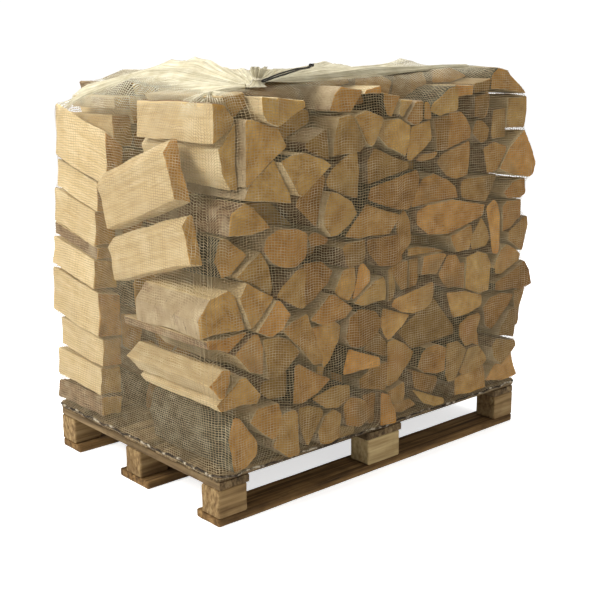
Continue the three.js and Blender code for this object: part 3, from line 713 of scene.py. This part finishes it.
def sloped(near, rise):
    """Makes a log rise along its length from its near end."""
    place = Matrix.Identity(4)
    place[2][1] = rise
    place[2][3] = -rise * near
    return place


def mossy_corner(outline):
    """The log at the foot of the near left corner keeps its bark all round."""
    x, z = np.mean(outline, axis=0)
    return x < NEAR_LEFT and MOSSY_LOG_HEIGHTS[0] < z < MOSSY_LOG_HEIGHTS[1]


def bark_for(middle):
    """The near corner shows two logs of whiter and mossier bark; elsewhere the bark varies."""
    x, z = middle
    if x < NEAR_LEFT and WHITE_LOG_HEIGHTS[0] < z < WHITE_LOG_HEIGHTS[1]:
        return WHITE_BARK
    if x < NEAR_LEFT and z < MOSSY_BELOW:
        return MOSSY_BARK
    return (BARK, BARK, WHITE_BARK, MOSSY_BARK)[int(random.integers(4))]


def section_frame(node):
    """A block's own frame from its eight corners: its place, half sizes, and how it leans about X."""
    corners = np.unique(np.round([v.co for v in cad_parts[node].data.vertices], 6), axis=0)
    middle = corners.mean(axis=0)
    near = corners[np.argsort(corners[:, 1])][:4].mean(axis=0)
    lean = math.atan2(middle[2] - near[2], middle[1] - near[1])
    place = Matrix.Translation(middle) @ Matrix.Rotation(lean, 4, "X")
    own = (corners - middle) @ np.array(Matrix.Rotation(lean, 3, "X"))
    return place, np.abs(own).max(axis=0)


def add_leaning_logs(finishes):
    """The two big split logs against the left side, each with a paler facet along its top."""
    pieces = []
    for node in ("leaning_log_upper", "leaning_log_lower"):
        place, (x, y, z) = section_frame(node)
        corners = ((x, -z), (x, z), (0.2 * x, z), (-x, 0.62 * z), (-0.8 * x, -0.9 * z))
        shape = Shape()
        add_log(shape, [np.array(p) for p in corners], -y, y, log_tint(0.1, 0.62), rounding=0.0015,
                rough=0.0035, step=0.014, place=place, bark_kind=SPLIT)
        pieces.append(stands_for(shape.build(f"{node}_split", finishes), node))
    return pieces


# ---- Pallet --------------------------------------------------------------------------------

LONG_WAYS = Matrix.Rotation(-math.pi / 2, 4, "Z")


def add_timber(node, along_x, finish):
    """A board or block, with worn edges and a slightly uneven surface, in its packed place."""
    low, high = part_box(node)
    middle = (low + high) / 2
    x, y, z = (high - low) / 2
    if along_x:
        x, y = y, x
    outline = [np.array(p) for p in ((-x, -z), (x, -z), (x, z), (-x, z))]
    place = Matrix.Translation(middle) @ (LONG_WAYS if along_x else Matrix.Identity(4))
    shape = Shape()
    add_log(shape, outline, -y, y, log_tint(), inset=0.0, rounding=0.0025, rough=0.0006, step=0.03,
            place=place, bark_kind=SPLIT, end_kind=SPLIT, end_tilt=0.0)
    shape.grain = [rows[:, [1, 0, 2]] for rows in shape.grain]
    return stands_for(shape.build(f"{node}_worn", [finish, finish]), node)


def add_pallet():
    """The pallet's boards and blocks, with one fresh block in the middle of the near side."""
    worn = board_wood("weathered_board", (0.04, 0.026, 0.013), (0.155, 0.10, 0.047), (0.30, 0.215, 0.11))
    foot = board_wood("worn_foot_board", (0.05, 0.027, 0.01), (0.19, 0.105, 0.037), (0.36, 0.225, 0.09))
    block = board_wood("sawn_block", (0.10, 0.054, 0.02), (0.26, 0.165, 0.07), (0.42, 0.30, 0.145))
    fresh = board_wood("fresh_block", (0.30, 0.20, 0.085), (0.50, 0.37, 0.18), (0.66, 0.52, 0.29))
    pieces = []
    for node in sorted(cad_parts):
        if node.startswith(("deck_board", "stringer")):
            pieces.append(add_timber(node, node.startswith("deck_board"), worn))
        elif node.startswith("bottom_board"):
            pieces.append(add_timber(node, True, foot))
        elif node.startswith("block"):
            wood = fresh if node == "block_near_centre" else block
            pieces.append(add_timber(node, True, wood))
    return pieces


# ---- Net -----------------------------------------------------------------------------------

# The net starts as a grid on a rounded box well outside the load and is drawn in along each point's
# own direction until it meets wood. Its rows go up the sides, over a round shoulder and in to the neck.
NET_STEP = 0.0086
SIDE_ROWS, SHOULDER_ROWS, TOP_ROWS = 92, 22, 56
NET_MARGIN = 0.012
NET_CORNER = 0.17
NET_SHOULDER = 0.15
LEFT_FALL = 0.075
LEFT_FALL_FROM = -0.30
TOP_CROWDING = 1.25
RAY_START = 0.1
NET_HEIGHT_OFF_WOOD = 0.002
HEM_HEIGHT = 0.128
HEM_OFF_DECK = 0.003
HEM_RADIUS = 0.003
DEEPEST = 0.3
COARSE = 4
COARSE_DEPTH = 0.04
COARSE_STEPS = 1200
RELAX_STEPS = 700
NET_PULL = 0.00001
PITCH_ALONG, PITCH_UP = 0.0095, 0.0068
THREAD_SHARE, CROSS_THREAD_SHARE = 0.12, 0.18
THREAD_COVER = 0.92
NECK = Vector((-0.423, -0.355, 1.098))
NECK_FOOT = 0.026
NECK_LEAN = math.radians(14)
NECK_SIDE = [(0.026, 0.0), (0.0165, 0.006), (0.011, 0.012), (0.0088, 0.017), (0.0088, 0.021),
             (0.012, 0.028), (0.0155, 0.036), (0.0185, 0.045)]
NECK_POINTS = 97
NECK_CROWD = 12.0
TIE_TURNS, TIE_REACH, TIE_RADIUS = 2.2, 0.0112, 0.0014

# Where the net stands up in a fold: the points along each crest.
FOLDS = [
    [(-0.585, 0.160, 1.066), (-0.561, 0.120, 1.088), (-0.535, 0.085, 1.107), (-0.494, 0.050, 1.127),
     (-0.449, 0.020, 1.149), (-0.413, 0.000, 1.162), (-0.365, -0.020, 1.166), (-0.338, -0.038, 1.150)],
    [(-0.548, -0.030, 1.085), (-0.501, -0.055, 1.113), (-0.454, -0.080, 1.141), (-0.397, -0.105, 1.163),
     (-0.384, -0.116, 1.155), (-0.375, -0.135, 1.130)],
    [(-0.600, -0.120, 1.062), (-0.555, -0.170, 1.080), (-0.510, -0.225, 1.092), (-0.460, -0.300, 1.100)],
    [(-0.330, -0.120, 1.128), (-0.370, -0.200, 1.122), (-0.400, -0.290, 1.113)],
    [(0.290, -0.155, 1.150), (0.307, -0.150, 1.162), (0.345, -0.165, 1.156), (0.385, -0.160, 1.146)],
    [(0.120, 0.040, 1.146), (0.200, 0.060, 1.153), (0.260, 0.050, 1.147)],
]
FOLD_SLOPE = 0.4
FOLD_REACH = 0.05
STRING_REACH = 0.010
STRING_GAP = 0.0006
STRING_SLOPE = 0.35
STRING_VALLEY = 0.07
GATHERED_LAYERS = 12
MOST_CROWDED = 60
PLEATS_FROM, PLEAT_SLOPE, PLEAT_HEIGHT = 1.02, 0.006, 0.0045
PLEATS_END_GAP = 0.0012
GATHER_FROM = SIDE_ROWS + SHOULDER_ROWS // 2
TOP_FROM = SIDE_ROWS + SHOULDER_ROWS
PANEL_ROWS = SIDE_ROWS + 2


def walk_round(low, high):
    """Points and outward directions round a rectangle with round corners, side by side from the
    middle of the near left corner, and how many points each of the four sides has."""
    r = NET_CORNER
    left, right, near, far = low.x + r, high.x - r, low.y + r, high.y - r
    corners = [np.array(p) for p in ((left, near), (right, near), (right, far), (left, far))]
    points, normals, counts = [], [], []
    for side in range(4):
        a, b = corners[side], corners[(side + 1) % 4]
        facing = -math.pi / 2 + side * math.pi / 2
        straight = np.linalg.norm(b - a)
        length = straight + r * math.pi / 2
        count = round(length / NET_STEP)
        bend = r * math.pi / 4
        for k in range(count):
            s = k * length / count
            if s < bend:
                centre, angle = a, facing - math.pi / 4 + s / r
            elif s < bend + straight:
                centre, angle = a + (b - a) * (s - bend) / straight, facing
            else:
                centre, angle = b, facing + (s - bend - straight) / r
            out = np.array([math.cos(angle), math.sin(angle)])
            points.append(centre + r * out)
            normals.append(out)
        counts.append(count)
    return np.array(points), np.array(normals), counts


def net_base():
    """The grid that the net starts from, all round the load: places and outward directions."""
    low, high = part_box("net")
    margin = Vector((NET_MARGIN, NET_MARGIN, NET_MARGIN))
    points, out, counts = walk_round(low - margin, high + margin)
    top = high.z + NET_MARGIN
    flat_out = np.column_stack([out, np.zeros(len(out))])
    up = np.array([0.0, 0.0, 1.0])
    places, directions = [], []
    for z in np.linspace(HEM_HEIGHT, top - NET_SHOULDER, SIDE_ROWS):
        places.append(np.column_stack([points, np.full(len(points), z)]))
        directions.append(flat_out)
    inner = points - out * NET_SHOULDER
    for angle in np.linspace(0, math.pi / 2, SHOULDER_ROWS + 2)[1:-1]:
        direction = flat_out * math.cos(angle) + up * math.sin(angle)
        centre = np.column_stack([inner, np.full(len(inner), top - NET_SHOULDER)])
        places.append(centre + NET_SHOULDER * direction)
        directions.append(direction)
    to_rim = inner - np.array(NECK[:2])
    foot = np.array(NECK[:2]) + NECK_FOOT * to_rim / np.linalg.norm(to_rim, axis=1)[:, None]
    for share in np.linspace(0, 1, TOP_ROWS):
        share = 1 - (1 - share) ** TOP_CROWDING
        flat = inner + (foot - inner) * share
        places.append(np.column_stack([flat, np.full(len(flat), top)]))
        directions.append(np.tile(up, (len(flat), 1)))
    places = np.array(places)
    left_share = np.clip((LEFT_FALL_FROM - places[..., 0]) / (LEFT_FALL_FROM - low.x), 0, 1)
    height_share = (places[..., 2] - HEM_HEIGHT) / (top - HEM_HEIGHT)
    places[..., 2] -= LEFT_FALL * left_share * height_share
    return places, np.array(directions), counts


def tree_of(pieces):
    """One search tree of everything that the net lies on."""
    places, faces, count = [], [], 0
    for piece in pieces:
        mesh = piece.data
        places += [v.co.copy() for v in mesh.vertices]
        faces += [[i + count for i in face.vertices] for face in mesh.polygons]
        count += len(mesh.vertices)
    return BVHTree.FromPolygons(places, faces)


def deck_depth(places, directions):
    """How far in from the base the hem lies, along the edge of the deck."""
    low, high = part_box("deck_board_1")[0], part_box("deck_board_5")[1]
    half = np.array([(high.x - low.x) / 2, (high.y - low.y) / 2]) + HEM_OFF_DECK
    ways = np.maximum(np.abs(directions[:, :2]), 1e-9)
    steps = (np.abs(places[:, :2]) - half) / ways
    steps[np.abs(directions[:, :2]) < 1e-3] = -1
    return steps.max(axis=1)


def depth_limits(places, directions, tree):
    """How far in from the base each point may go before it meets wood."""
    limits = np.full(places.shape[:2], DEEPEST)
    for row in range(places.shape[0]):
        for column in range(places.shape[1]):
            way = Vector(directions[row, column])
            hit = tree.ray_cast(Vector(places[row, column]) + way * RAY_START, -way)
            if hit[0] is not None:
                limits[row, column] = min(DEEPEST, hit[3] - RAY_START - NET_HEIGHT_OFF_WOOD)
    return limits


def over_lines(places, lines):
    """For each stretch of the lines: how high each place is above it and how far to its side."""
    flat, level = places[..., :2], places[..., 2]
    for line in lines:
        for a, b in zip(line[:-1], line[1:]):
            a, b = np.array(a), np.array(b)
            along = b - a
            share = np.clip(((flat - a[:2]) @ along[:2]) / (along[:2] @ along[:2]), 0, 1)
            crest = a + share[..., None] * along
            yield level - crest[..., 2], np.linalg.norm(flat - crest[..., :2], axis=-1)


def held_up(limits, places, lines, reach, slope):
    """Lifts the limits of the top rows to lines that hold the net up."""
    top = limits[TOP_FROM:]
    for height, aside in over_lines(places[TOP_FROM:], lines):
        near = aside < reach
        top[near] = np.minimum(top[near], (height + slope * aside)[near])
    return limits


def pressed(depth, places, lines):
    """Lays the net's top rows just under the drawstring's strands."""
    top = depth[TOP_FROM:]
    for height, aside in over_lines(places[TOP_FROM:], lines):
        lowest = height + STRING_GAP - STRING_SLOPE * np.maximum(0, aside - STRING_REACH)
        top[:] = np.where(aside < STRING_VALLEY, np.maximum(top, lowest), top)
    return depth


def relaxed(places, directions, limits, hem, foot_depth, start, steps):
    """The taut net: each point lies midway between its neighbours, or at its limit."""
    depth = np.minimum(limits, start)
    depth[0], depth[-1] = hem, foot_depth
    inner, inner_ways = places[1:-1], directions[1:-1]
    for _ in range(steps):
        cloth = places - directions * depth[..., None]
        around = np.roll(cloth, 1, axis=1)[1:-1] + np.roll(cloth, -1, axis=1)[1:-1] + cloth[:-2] + cloth[2:]
        middle = ((inner - around / 4) * inner_ways).sum(axis=-1) + NET_PULL
        depth[1:-1] = np.minimum(limits[1:-1], middle)
    return depth


def taut_depth(places, directions, limits, hem, foot_depth):
    """Relaxes a coarse copy of the net first, and then the net itself from there."""
    rows, columns = limits.shape
    picks = np.append(np.arange(0, rows - 1, COARSE), rows - 1)
    coarse = np.ix_(picks, np.arange(0, columns, COARSE))
    rough = relaxed(places[coarse], directions[coarse], limits[coarse], hem[::COARSE], foot_depth[::COARSE],
                    COARSE_DEPTH, COARSE_STEPS)
    low = np.searchsorted(picks, np.arange(rows), side="right") - 1
    start = rough[low][:, np.arange(columns) // COARSE]
    return relaxed(places, directions, limits, hem, foot_depth, start, RELAX_STEPS)


def pleats(places):
    """Fine folds that run to the neck, as a height, and how crowded the cloth is there."""
    gap = np.linalg.norm(places - np.roll(places, -1, axis=1), axis=-1)
    crowd = np.clip(NET_STEP / np.maximum(gap, 1e-5), 1, MOST_CROWDED)
    columns = places.shape[1]
    turn = np.arange(columns) / columns * math.tau
    wave = np.sin(41 * turn + 2.1 * np.sin(5 * turn)) + 0.6 * np.sin(67 * turn + 1.7 * np.sin(3 * turn))
    size = np.clip((crowd - PLEATS_FROM) * PLEAT_SLOPE, 0, PLEAT_HEIGHT)
    size *= np.clip(gap / PLEATS_END_GAP, 0, 1)
    size[:SIDE_ROWS] = 0
    inward = np.clip((np.arange(len(places)) - GATHER_FROM) / (len(places) - GATHER_FROM), 0, 1)
    return wave[None, :] * size, crowd * (1 + GATHERED_LAYERS * inward[:, None])


def net_material():
    """A knitted net of pale thread, see-through between threads and closed where it is crowded."""
    paint = Nodes("knitted_net")
    along, up, crowd = paint.parts(paint.attribute("weave"))
    place = paint.coordinates()
    sway = paint.times(paint.math("SUBTRACT", paint.noise(place, 50, 2), 0.5), 0.5)
    fine = paint.times(paint.math("SUBTRACT", paint.noise(place, 12, 2), 0.5), 1.4)
    shift = paint.plus(sway, fine)
    covers = []
    crowded = paint.times(crowd, THREAD_SHARE)
    for value, pitch, share in ((along, PITCH_ALONG, crowded), (up, PITCH_UP, CROSS_THREAD_SHARE)):
        phase = paint.math("FRACT", paint.plus(paint.math("DIVIDE", value, pitch), shift))
        off = paint.math("ABSOLUTE", paint.math("SUBTRACT", phase, 0.5))
        covers.append(paint.math("LESS_THAN", off, paint.times(share, 0.5)))
    thread = paint.math("MAXIMUM", covers[0], covers[1])
    tone = paint.noise(place, 30, 3)
    # The loose net on the sides is darkened as painted shade. The gathered net on the top is paler, partly
    # from its crowded layers of cloth and partly as painted light from above.
    loose_painted_shade = paint.ramp(tone, [
        (0.3, (0.27, 0.195, 0.10)), (0.55, (0.40, 0.31, 0.175)), (0.8, (0.58, 0.49, 0.32))])
    gathered = paint.ramp(tone, [
        (0.3, (0.62, 0.56, 0.38)), (0.55, (0.76, 0.71, 0.52)), (0.8, (0.86, 0.82, 0.65))])
    colour = paint.mix(paint.curve(crowd, 1.3, 3), loose_painted_shade, gathered)
    crease = paint.streaks(paint.attribute("weave"), (160, 6, 0), 3)
    # Painted shade: the creases of the crowded net are darkened along the crease hollows.
    painted_crease_shade = paint.times(paint.curve(crease, 0.35, 0.65, 1, 0), paint.curve(crowd, 1.5, 4))
    colour = paint.mix(paint.curve(painted_crease_shade, 0, 1, 0, 0.6), colour, (0.22, 0.18, 0.11))
    alpha = paint.times(thread, THREAD_COVER)
    paint.surface(colour, 0.6, paint.bump(crease, 0.6, 0.003), alpha)
    return paint.material


def sheet_piece(name, places, weave, material):
    """A grid of points as a cloth piece with its weave coordinates."""
    faces = grid_faces(*places.shape[:2])
    piece = new_piece(name, places.reshape(-1, 3), faces, [material], smooth=True, weave=weave)
    return piece


def flat_map(piece, corners):
    """The piece's own map for its finish, from two coordinates of each point, from 0 to 1."""
    low, size = corners.min(axis=0), np.ptp(corners, axis=0)
    shares = 0.01 + 0.98 * (corners - low) / size
    layer = piece.data.uv_layers.new(name="OFBake")
    loops = np.empty(len(piece.data.loops), dtype=np.int32)
    piece.data.loops.foreach_get("vertex_index", loops)
    layer.data.foreach_set("uv", shares[loops].astype(np.float32).ravel())


def joined_round(grid):
    """The grid with its first column again at its end, so that it closes round the load."""
    return np.concatenate([grid, grid[:, :1]], axis=1)


def add_net(wood, string_lines):
    """The net over all the wood, in four side panels and a crown, with its hem and its neck."""
    places, directions, counts = net_base()
    limits = depth_limits(places, directions, tree_of(wood))
    limits = held_up(limits, places, FOLDS, FOLD_REACH, FOLD_SLOPE)
    limits = held_up(limits, places, string_lines, STRING_REACH, 0.0)
    hem = deck_depth(places[0], directions[0])
    depth = taut_depth(places, directions, limits, hem, places[-1, :, 2] - NECK.z)
    height, crowd = pleats(places)
    depth[1:-1] -= height[1:-1]
    depth = pressed(depth, places, string_lines)
    cloth = places - directions * depth[..., None]
    along = np.cumsum(np.full(places.shape[1], NET_STEP))
    rises = np.cumsum(np.linalg.norm(np.diff(cloth, axis=0), axis=-1), axis=0)
    up = np.concatenate([np.zeros((1, places.shape[1])), rises])
    weave = np.dstack([np.broadcast_to(along, up.shape), up, crowd])
    cloth, weave = joined_round(cloth), joined_round(weave)
    weave[:, -1, 0] = weave[:, -2, 0] + NET_STEP
    material = net_material()
    start = 0
    for name, count in zip(("front", "right", "back", "left"), counts):
        panel = np.s_[:PANEL_ROWS, start:start + count + 1]
        start += count
        piece = sheet_piece(f"net_{name}", cloth[panel], weave[panel], material)
        flat_map(piece, weave[panel][..., :2].reshape(-1, 2))
        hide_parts("net")
    crown = sheet_piece("net_top", cloth[PANEL_ROWS - 1:], weave[PANEL_ROWS - 1:], material)
    flat_map(crown, cloth[PANEL_ROWS - 1:, :, :2].reshape(-1, 2))
    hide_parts("net")
    add_hem(cloth[1, :-1])
    add_neck(material)
    add_tie()


def tube(points, radius, sides, closed):
    """Lines of points that run side by side along a line, at one radius from it."""
    points = np.array(points)
    ahead = np.roll(points, -1, axis=0) - np.roll(points, 1, axis=0)
    if not closed:
        ahead[0], ahead[-1] = points[1] - points[0], points[-1] - points[-2]
    ahead /= np.linalg.norm(ahead, axis=1)[:, None]
    side = np.cross(ahead, (0, 0, 1))
    side /= np.linalg.norm(side, axis=1)[:, None]
    over = np.cross(side, ahead)
    rings = []
    for k in range(sides):
        angle = math.tau * k / sides
        rings.append(points + radius * (side * math.cos(angle) + over * math.sin(angle)))
    return np.array(rings)


def tube_piece(name, rings, material, ends=True):
    """A tube of such lines: with an end face at both ends, or closed round on itself."""
    sides, count = rings.shape[:2]
    faces = grid_faces(sides, count, round_rows=True, round_columns=not ends)
    if ends:
        faces.append([k * count for k in range(sides)])
        faces.append([k * count + count - 1 for k in range(sides)][::-1])
    return new_piece(name, rings.reshape(-1, 3), faces, [material], smooth=True)


def hem_material():
    """The hem's dark cord casing, with light patches of stitching."""
    paint = Nodes("net_hem")
    stitches = paint.noise(paint.coordinates(), 45, 2)
    colour = paint.ramp(stitches, [
        (0.45, (0.035, 0.026, 0.018)), (0.56, (0.12, 0.09, 0.06)), (0.64, (0.50, 0.44, 0.33))])
    paint.surface(colour, 0.8, paint.bump(stitches, 0.6, 0.002))
    return paint.material


def add_hem(line):
    """The cord casing along the net's lower edge, a little wavy."""
    turn = np.arange(len(line)) / len(line) * math.tau
    wavy_line = line.copy()
    wavy_line[:, 2] += 0.0025 * np.sin(31 * turn + 1.9 * np.sin(7 * turn)) + 0.0015 * np.sin(83 * turn)
    hem = tube_piece("net_hem", tube(wavy_line, HEM_RADIUS, 6, True), hem_material(), ends=False)


def add_neck(material):
    """The net's gathered neck, which flares above its tie."""
    turn = np.linspace(0, math.tau, NECK_POINTS)
    frill = 0.16 * np.sin(9 * turn + 0.8 * np.sin(2 * turn)) + 0.08 * np.sin(23 * turn)
    rows, weave = [], []
    for index, (radius, height) in enumerate(NECK_SIDE):
        spread = radius * (1 + frill * (0.4 + 0.12 * index))
        ragged = np.full(NECK_POINTS, height)
        if index == len(NECK_SIDE) - 1:
            ragged = height + 0.004 * np.sin(5 * turn + 1)
        leaning = NECK.x + spread * np.cos(turn) + math.tan(NECK_LEAN) * height
        rows.append(np.column_stack([leaning, NECK.y + spread * np.sin(turn), NECK.z + ragged]))
        weave.append([(0.6 * t, height, NECK_CROWD) for t in turn])
    neck = sheet_piece("net_neck_gather", np.array(rows), np.array(weave), material)
    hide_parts("net_neck")


def add_tie():
    """The pale string round the neck, and its tail."""
    paint = Nodes("tie_string")
    twist = paint.streaks(paint.coordinates(), (900, 900, 400), 2)
    colour = paint.ramp(twist, [(0.4, (0.52, 0.47, 0.34)), (0.6, (0.74, 0.70, 0.57))])
    paint.surface(colour, 0.7, paint.bump(twist, 0.5, 0.001))
    steps = np.arange(40) / 39
    angle = steps * math.tau * TIE_TURNS + 2.4
    height = 0.0165 + 0.005 * steps
    radius = TIE_REACH + 0.0006 * np.sin(3 * angle)
    loops = np.column_stack([NECK.x + math.tan(NECK_LEAN) * height + radius * np.cos(angle),
                             NECK.y + radius * np.sin(angle), NECK.z + height])
    tail = []
    for t in np.linspace(0, 1, 14):
        tail.append((NECK.x - 0.012 - 0.030 * t, NECK.y - 0.006 - 0.012 * math.sin(2.2 * t),
                     NECK.z + 0.018 - 0.012 * t + 0.004 * math.sin(6 * t)))
    for name, line in (("neck_tie", loops), ("neck_tie_tail", tail)):
        tube_piece(name, tube(line, TIE_RADIUS, 6, False), paint.material)


# ---- Drawstring ----------------------------------------------------------------------------

STRING_DIAMETER = 0.004
STRING_RADIUS = STRING_DIAMETER / 2
STRANDS = {
    "near": [
        (-0.411, -0.363, 1.111), (-0.400, -0.357, 1.1108), (-0.386, -0.350, 1.1122),
        (-0.369, -0.341, 1.1149), (-0.350, -0.333, 1.1175), (-0.332, -0.325, 1.120),
        (-0.314, -0.318, 1.1225), (-0.296, -0.311, 1.125), (-0.278, -0.304, 1.1275),
        (-0.259, -0.297, 1.1301), (-0.241, -0.289, 1.1326), (-0.223, -0.281, 1.1352),
        (-0.205, -0.272, 1.1377), (-0.187, -0.263, 1.1387), (-0.168, -0.254, 1.1396),
        (-0.150, -0.245, 1.141), (-0.131, -0.234, 1.144),
    ],
    "far": [
        (-0.411, -0.348, 1.112), (-0.400, -0.343, 1.1118), (-0.386, -0.336, 1.1134),
        (-0.369, -0.328, 1.1158), (-0.350, -0.318, 1.1185), (-0.332, -0.309, 1.1212),
        (-0.314, -0.300, 1.1238), (-0.296, -0.291, 1.1264), (-0.278, -0.284, 1.129),
        (-0.259, -0.277, 1.1314), (-0.241, -0.271, 1.1339), (-0.223, -0.265, 1.1363),
        (-0.205, -0.259, 1.1384), (-0.187, -0.253, 1.1391), (-0.168, -0.246, 1.1398),
        (-0.150, -0.238, 1.141), (-0.132, -0.229, 1.144),
    ],
}


def string_material():
    """Black braided cord."""
    paint = Nodes("black_cord")
    braid = paint.streaks(paint.coordinates(), (700, 900, 900), 2)
    colour = paint.ramp(braid, [(0.4, (0.008, 0.007, 0.006)), (0.62, (0.045, 0.04, 0.034))])
    paint.surface(colour, 0.75, paint.bump(braid, 0.7, 0.001))
    return paint.material


def smooth_line(points, steps):
    """A smooth line through the points, at even shares of each stretch."""
    points = np.array(points)
    padded = np.concatenate([[2 * points[0] - points[1]], points, [2 * points[-1] - points[-2]]])
    line = []
    for i in range(len(points) - 1):
        a, b, c, d = padded[i:i + 4]
        for t in np.arange(steps) / steps:
            line.append(0.5 * (2 * b + (c - a) * t + (2 * a - 5 * b + 4 * c - d) * t * t
                               + (3 * b - a - 3 * c + d) * t ** 3))
    return np.array(line + [points[-1]])


def add_drawstring():
    """The cord's two strands, which end in one knot."""
    finish = string_material()
    knot = add_knot(finish)
    for side, route in STRANDS.items():
        line = smooth_line(route, 4)
        strand = tube_piece(f"drawstring_{side}_strand", tube(line, STRING_RADIUS, 10, False), finish)
        stands_for(strand, f"drawstring_{side}")
        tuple(route[0])


def add_knot(finish):
    """The knot in the drawstring's ends: one line of cord wound through itself."""
    low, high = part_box("drawstring_knot")
    centre = np.array((low + high) / 2)
    t = np.linspace(0, math.tau, 90, endpoint=False)
    spread = 0.0030 * np.array([1.15, 1.0, 0.8])
    turns = np.column_stack([np.sin(t) + 1.1 * np.sin(2 * t), np.cos(t) - 1.1 * np.cos(2 * t),
                             -np.sin(3 * t)])
    rings = tube(centre + turns * spread, STRING_RADIUS, 8, True)
    knot = tube_piece("drawstring_end_knot", rings, finish, ends=False)
    return stands_for(knot, "drawstring_knot")


add_camera()
add_drawstring()
add_studio()
add_floor()
LOG_FINISHES = [end_grain(), split_face(), brown_bark(), birch_bark(), mossy_bark()]
pallet = add_pallet()
logs = add_log_groups(LOG_FINISHES)
leaning = add_leaning_logs(LOG_FINISHES)
string_lines = [[(x, y, z - STRING_RADIUS) for x, y, z in route] for route in STRANDS.values()]
add_net(pallet + logs + leaning, string_lines)

sizes = [[list(p) for p in box] for box in (cad_box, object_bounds())]
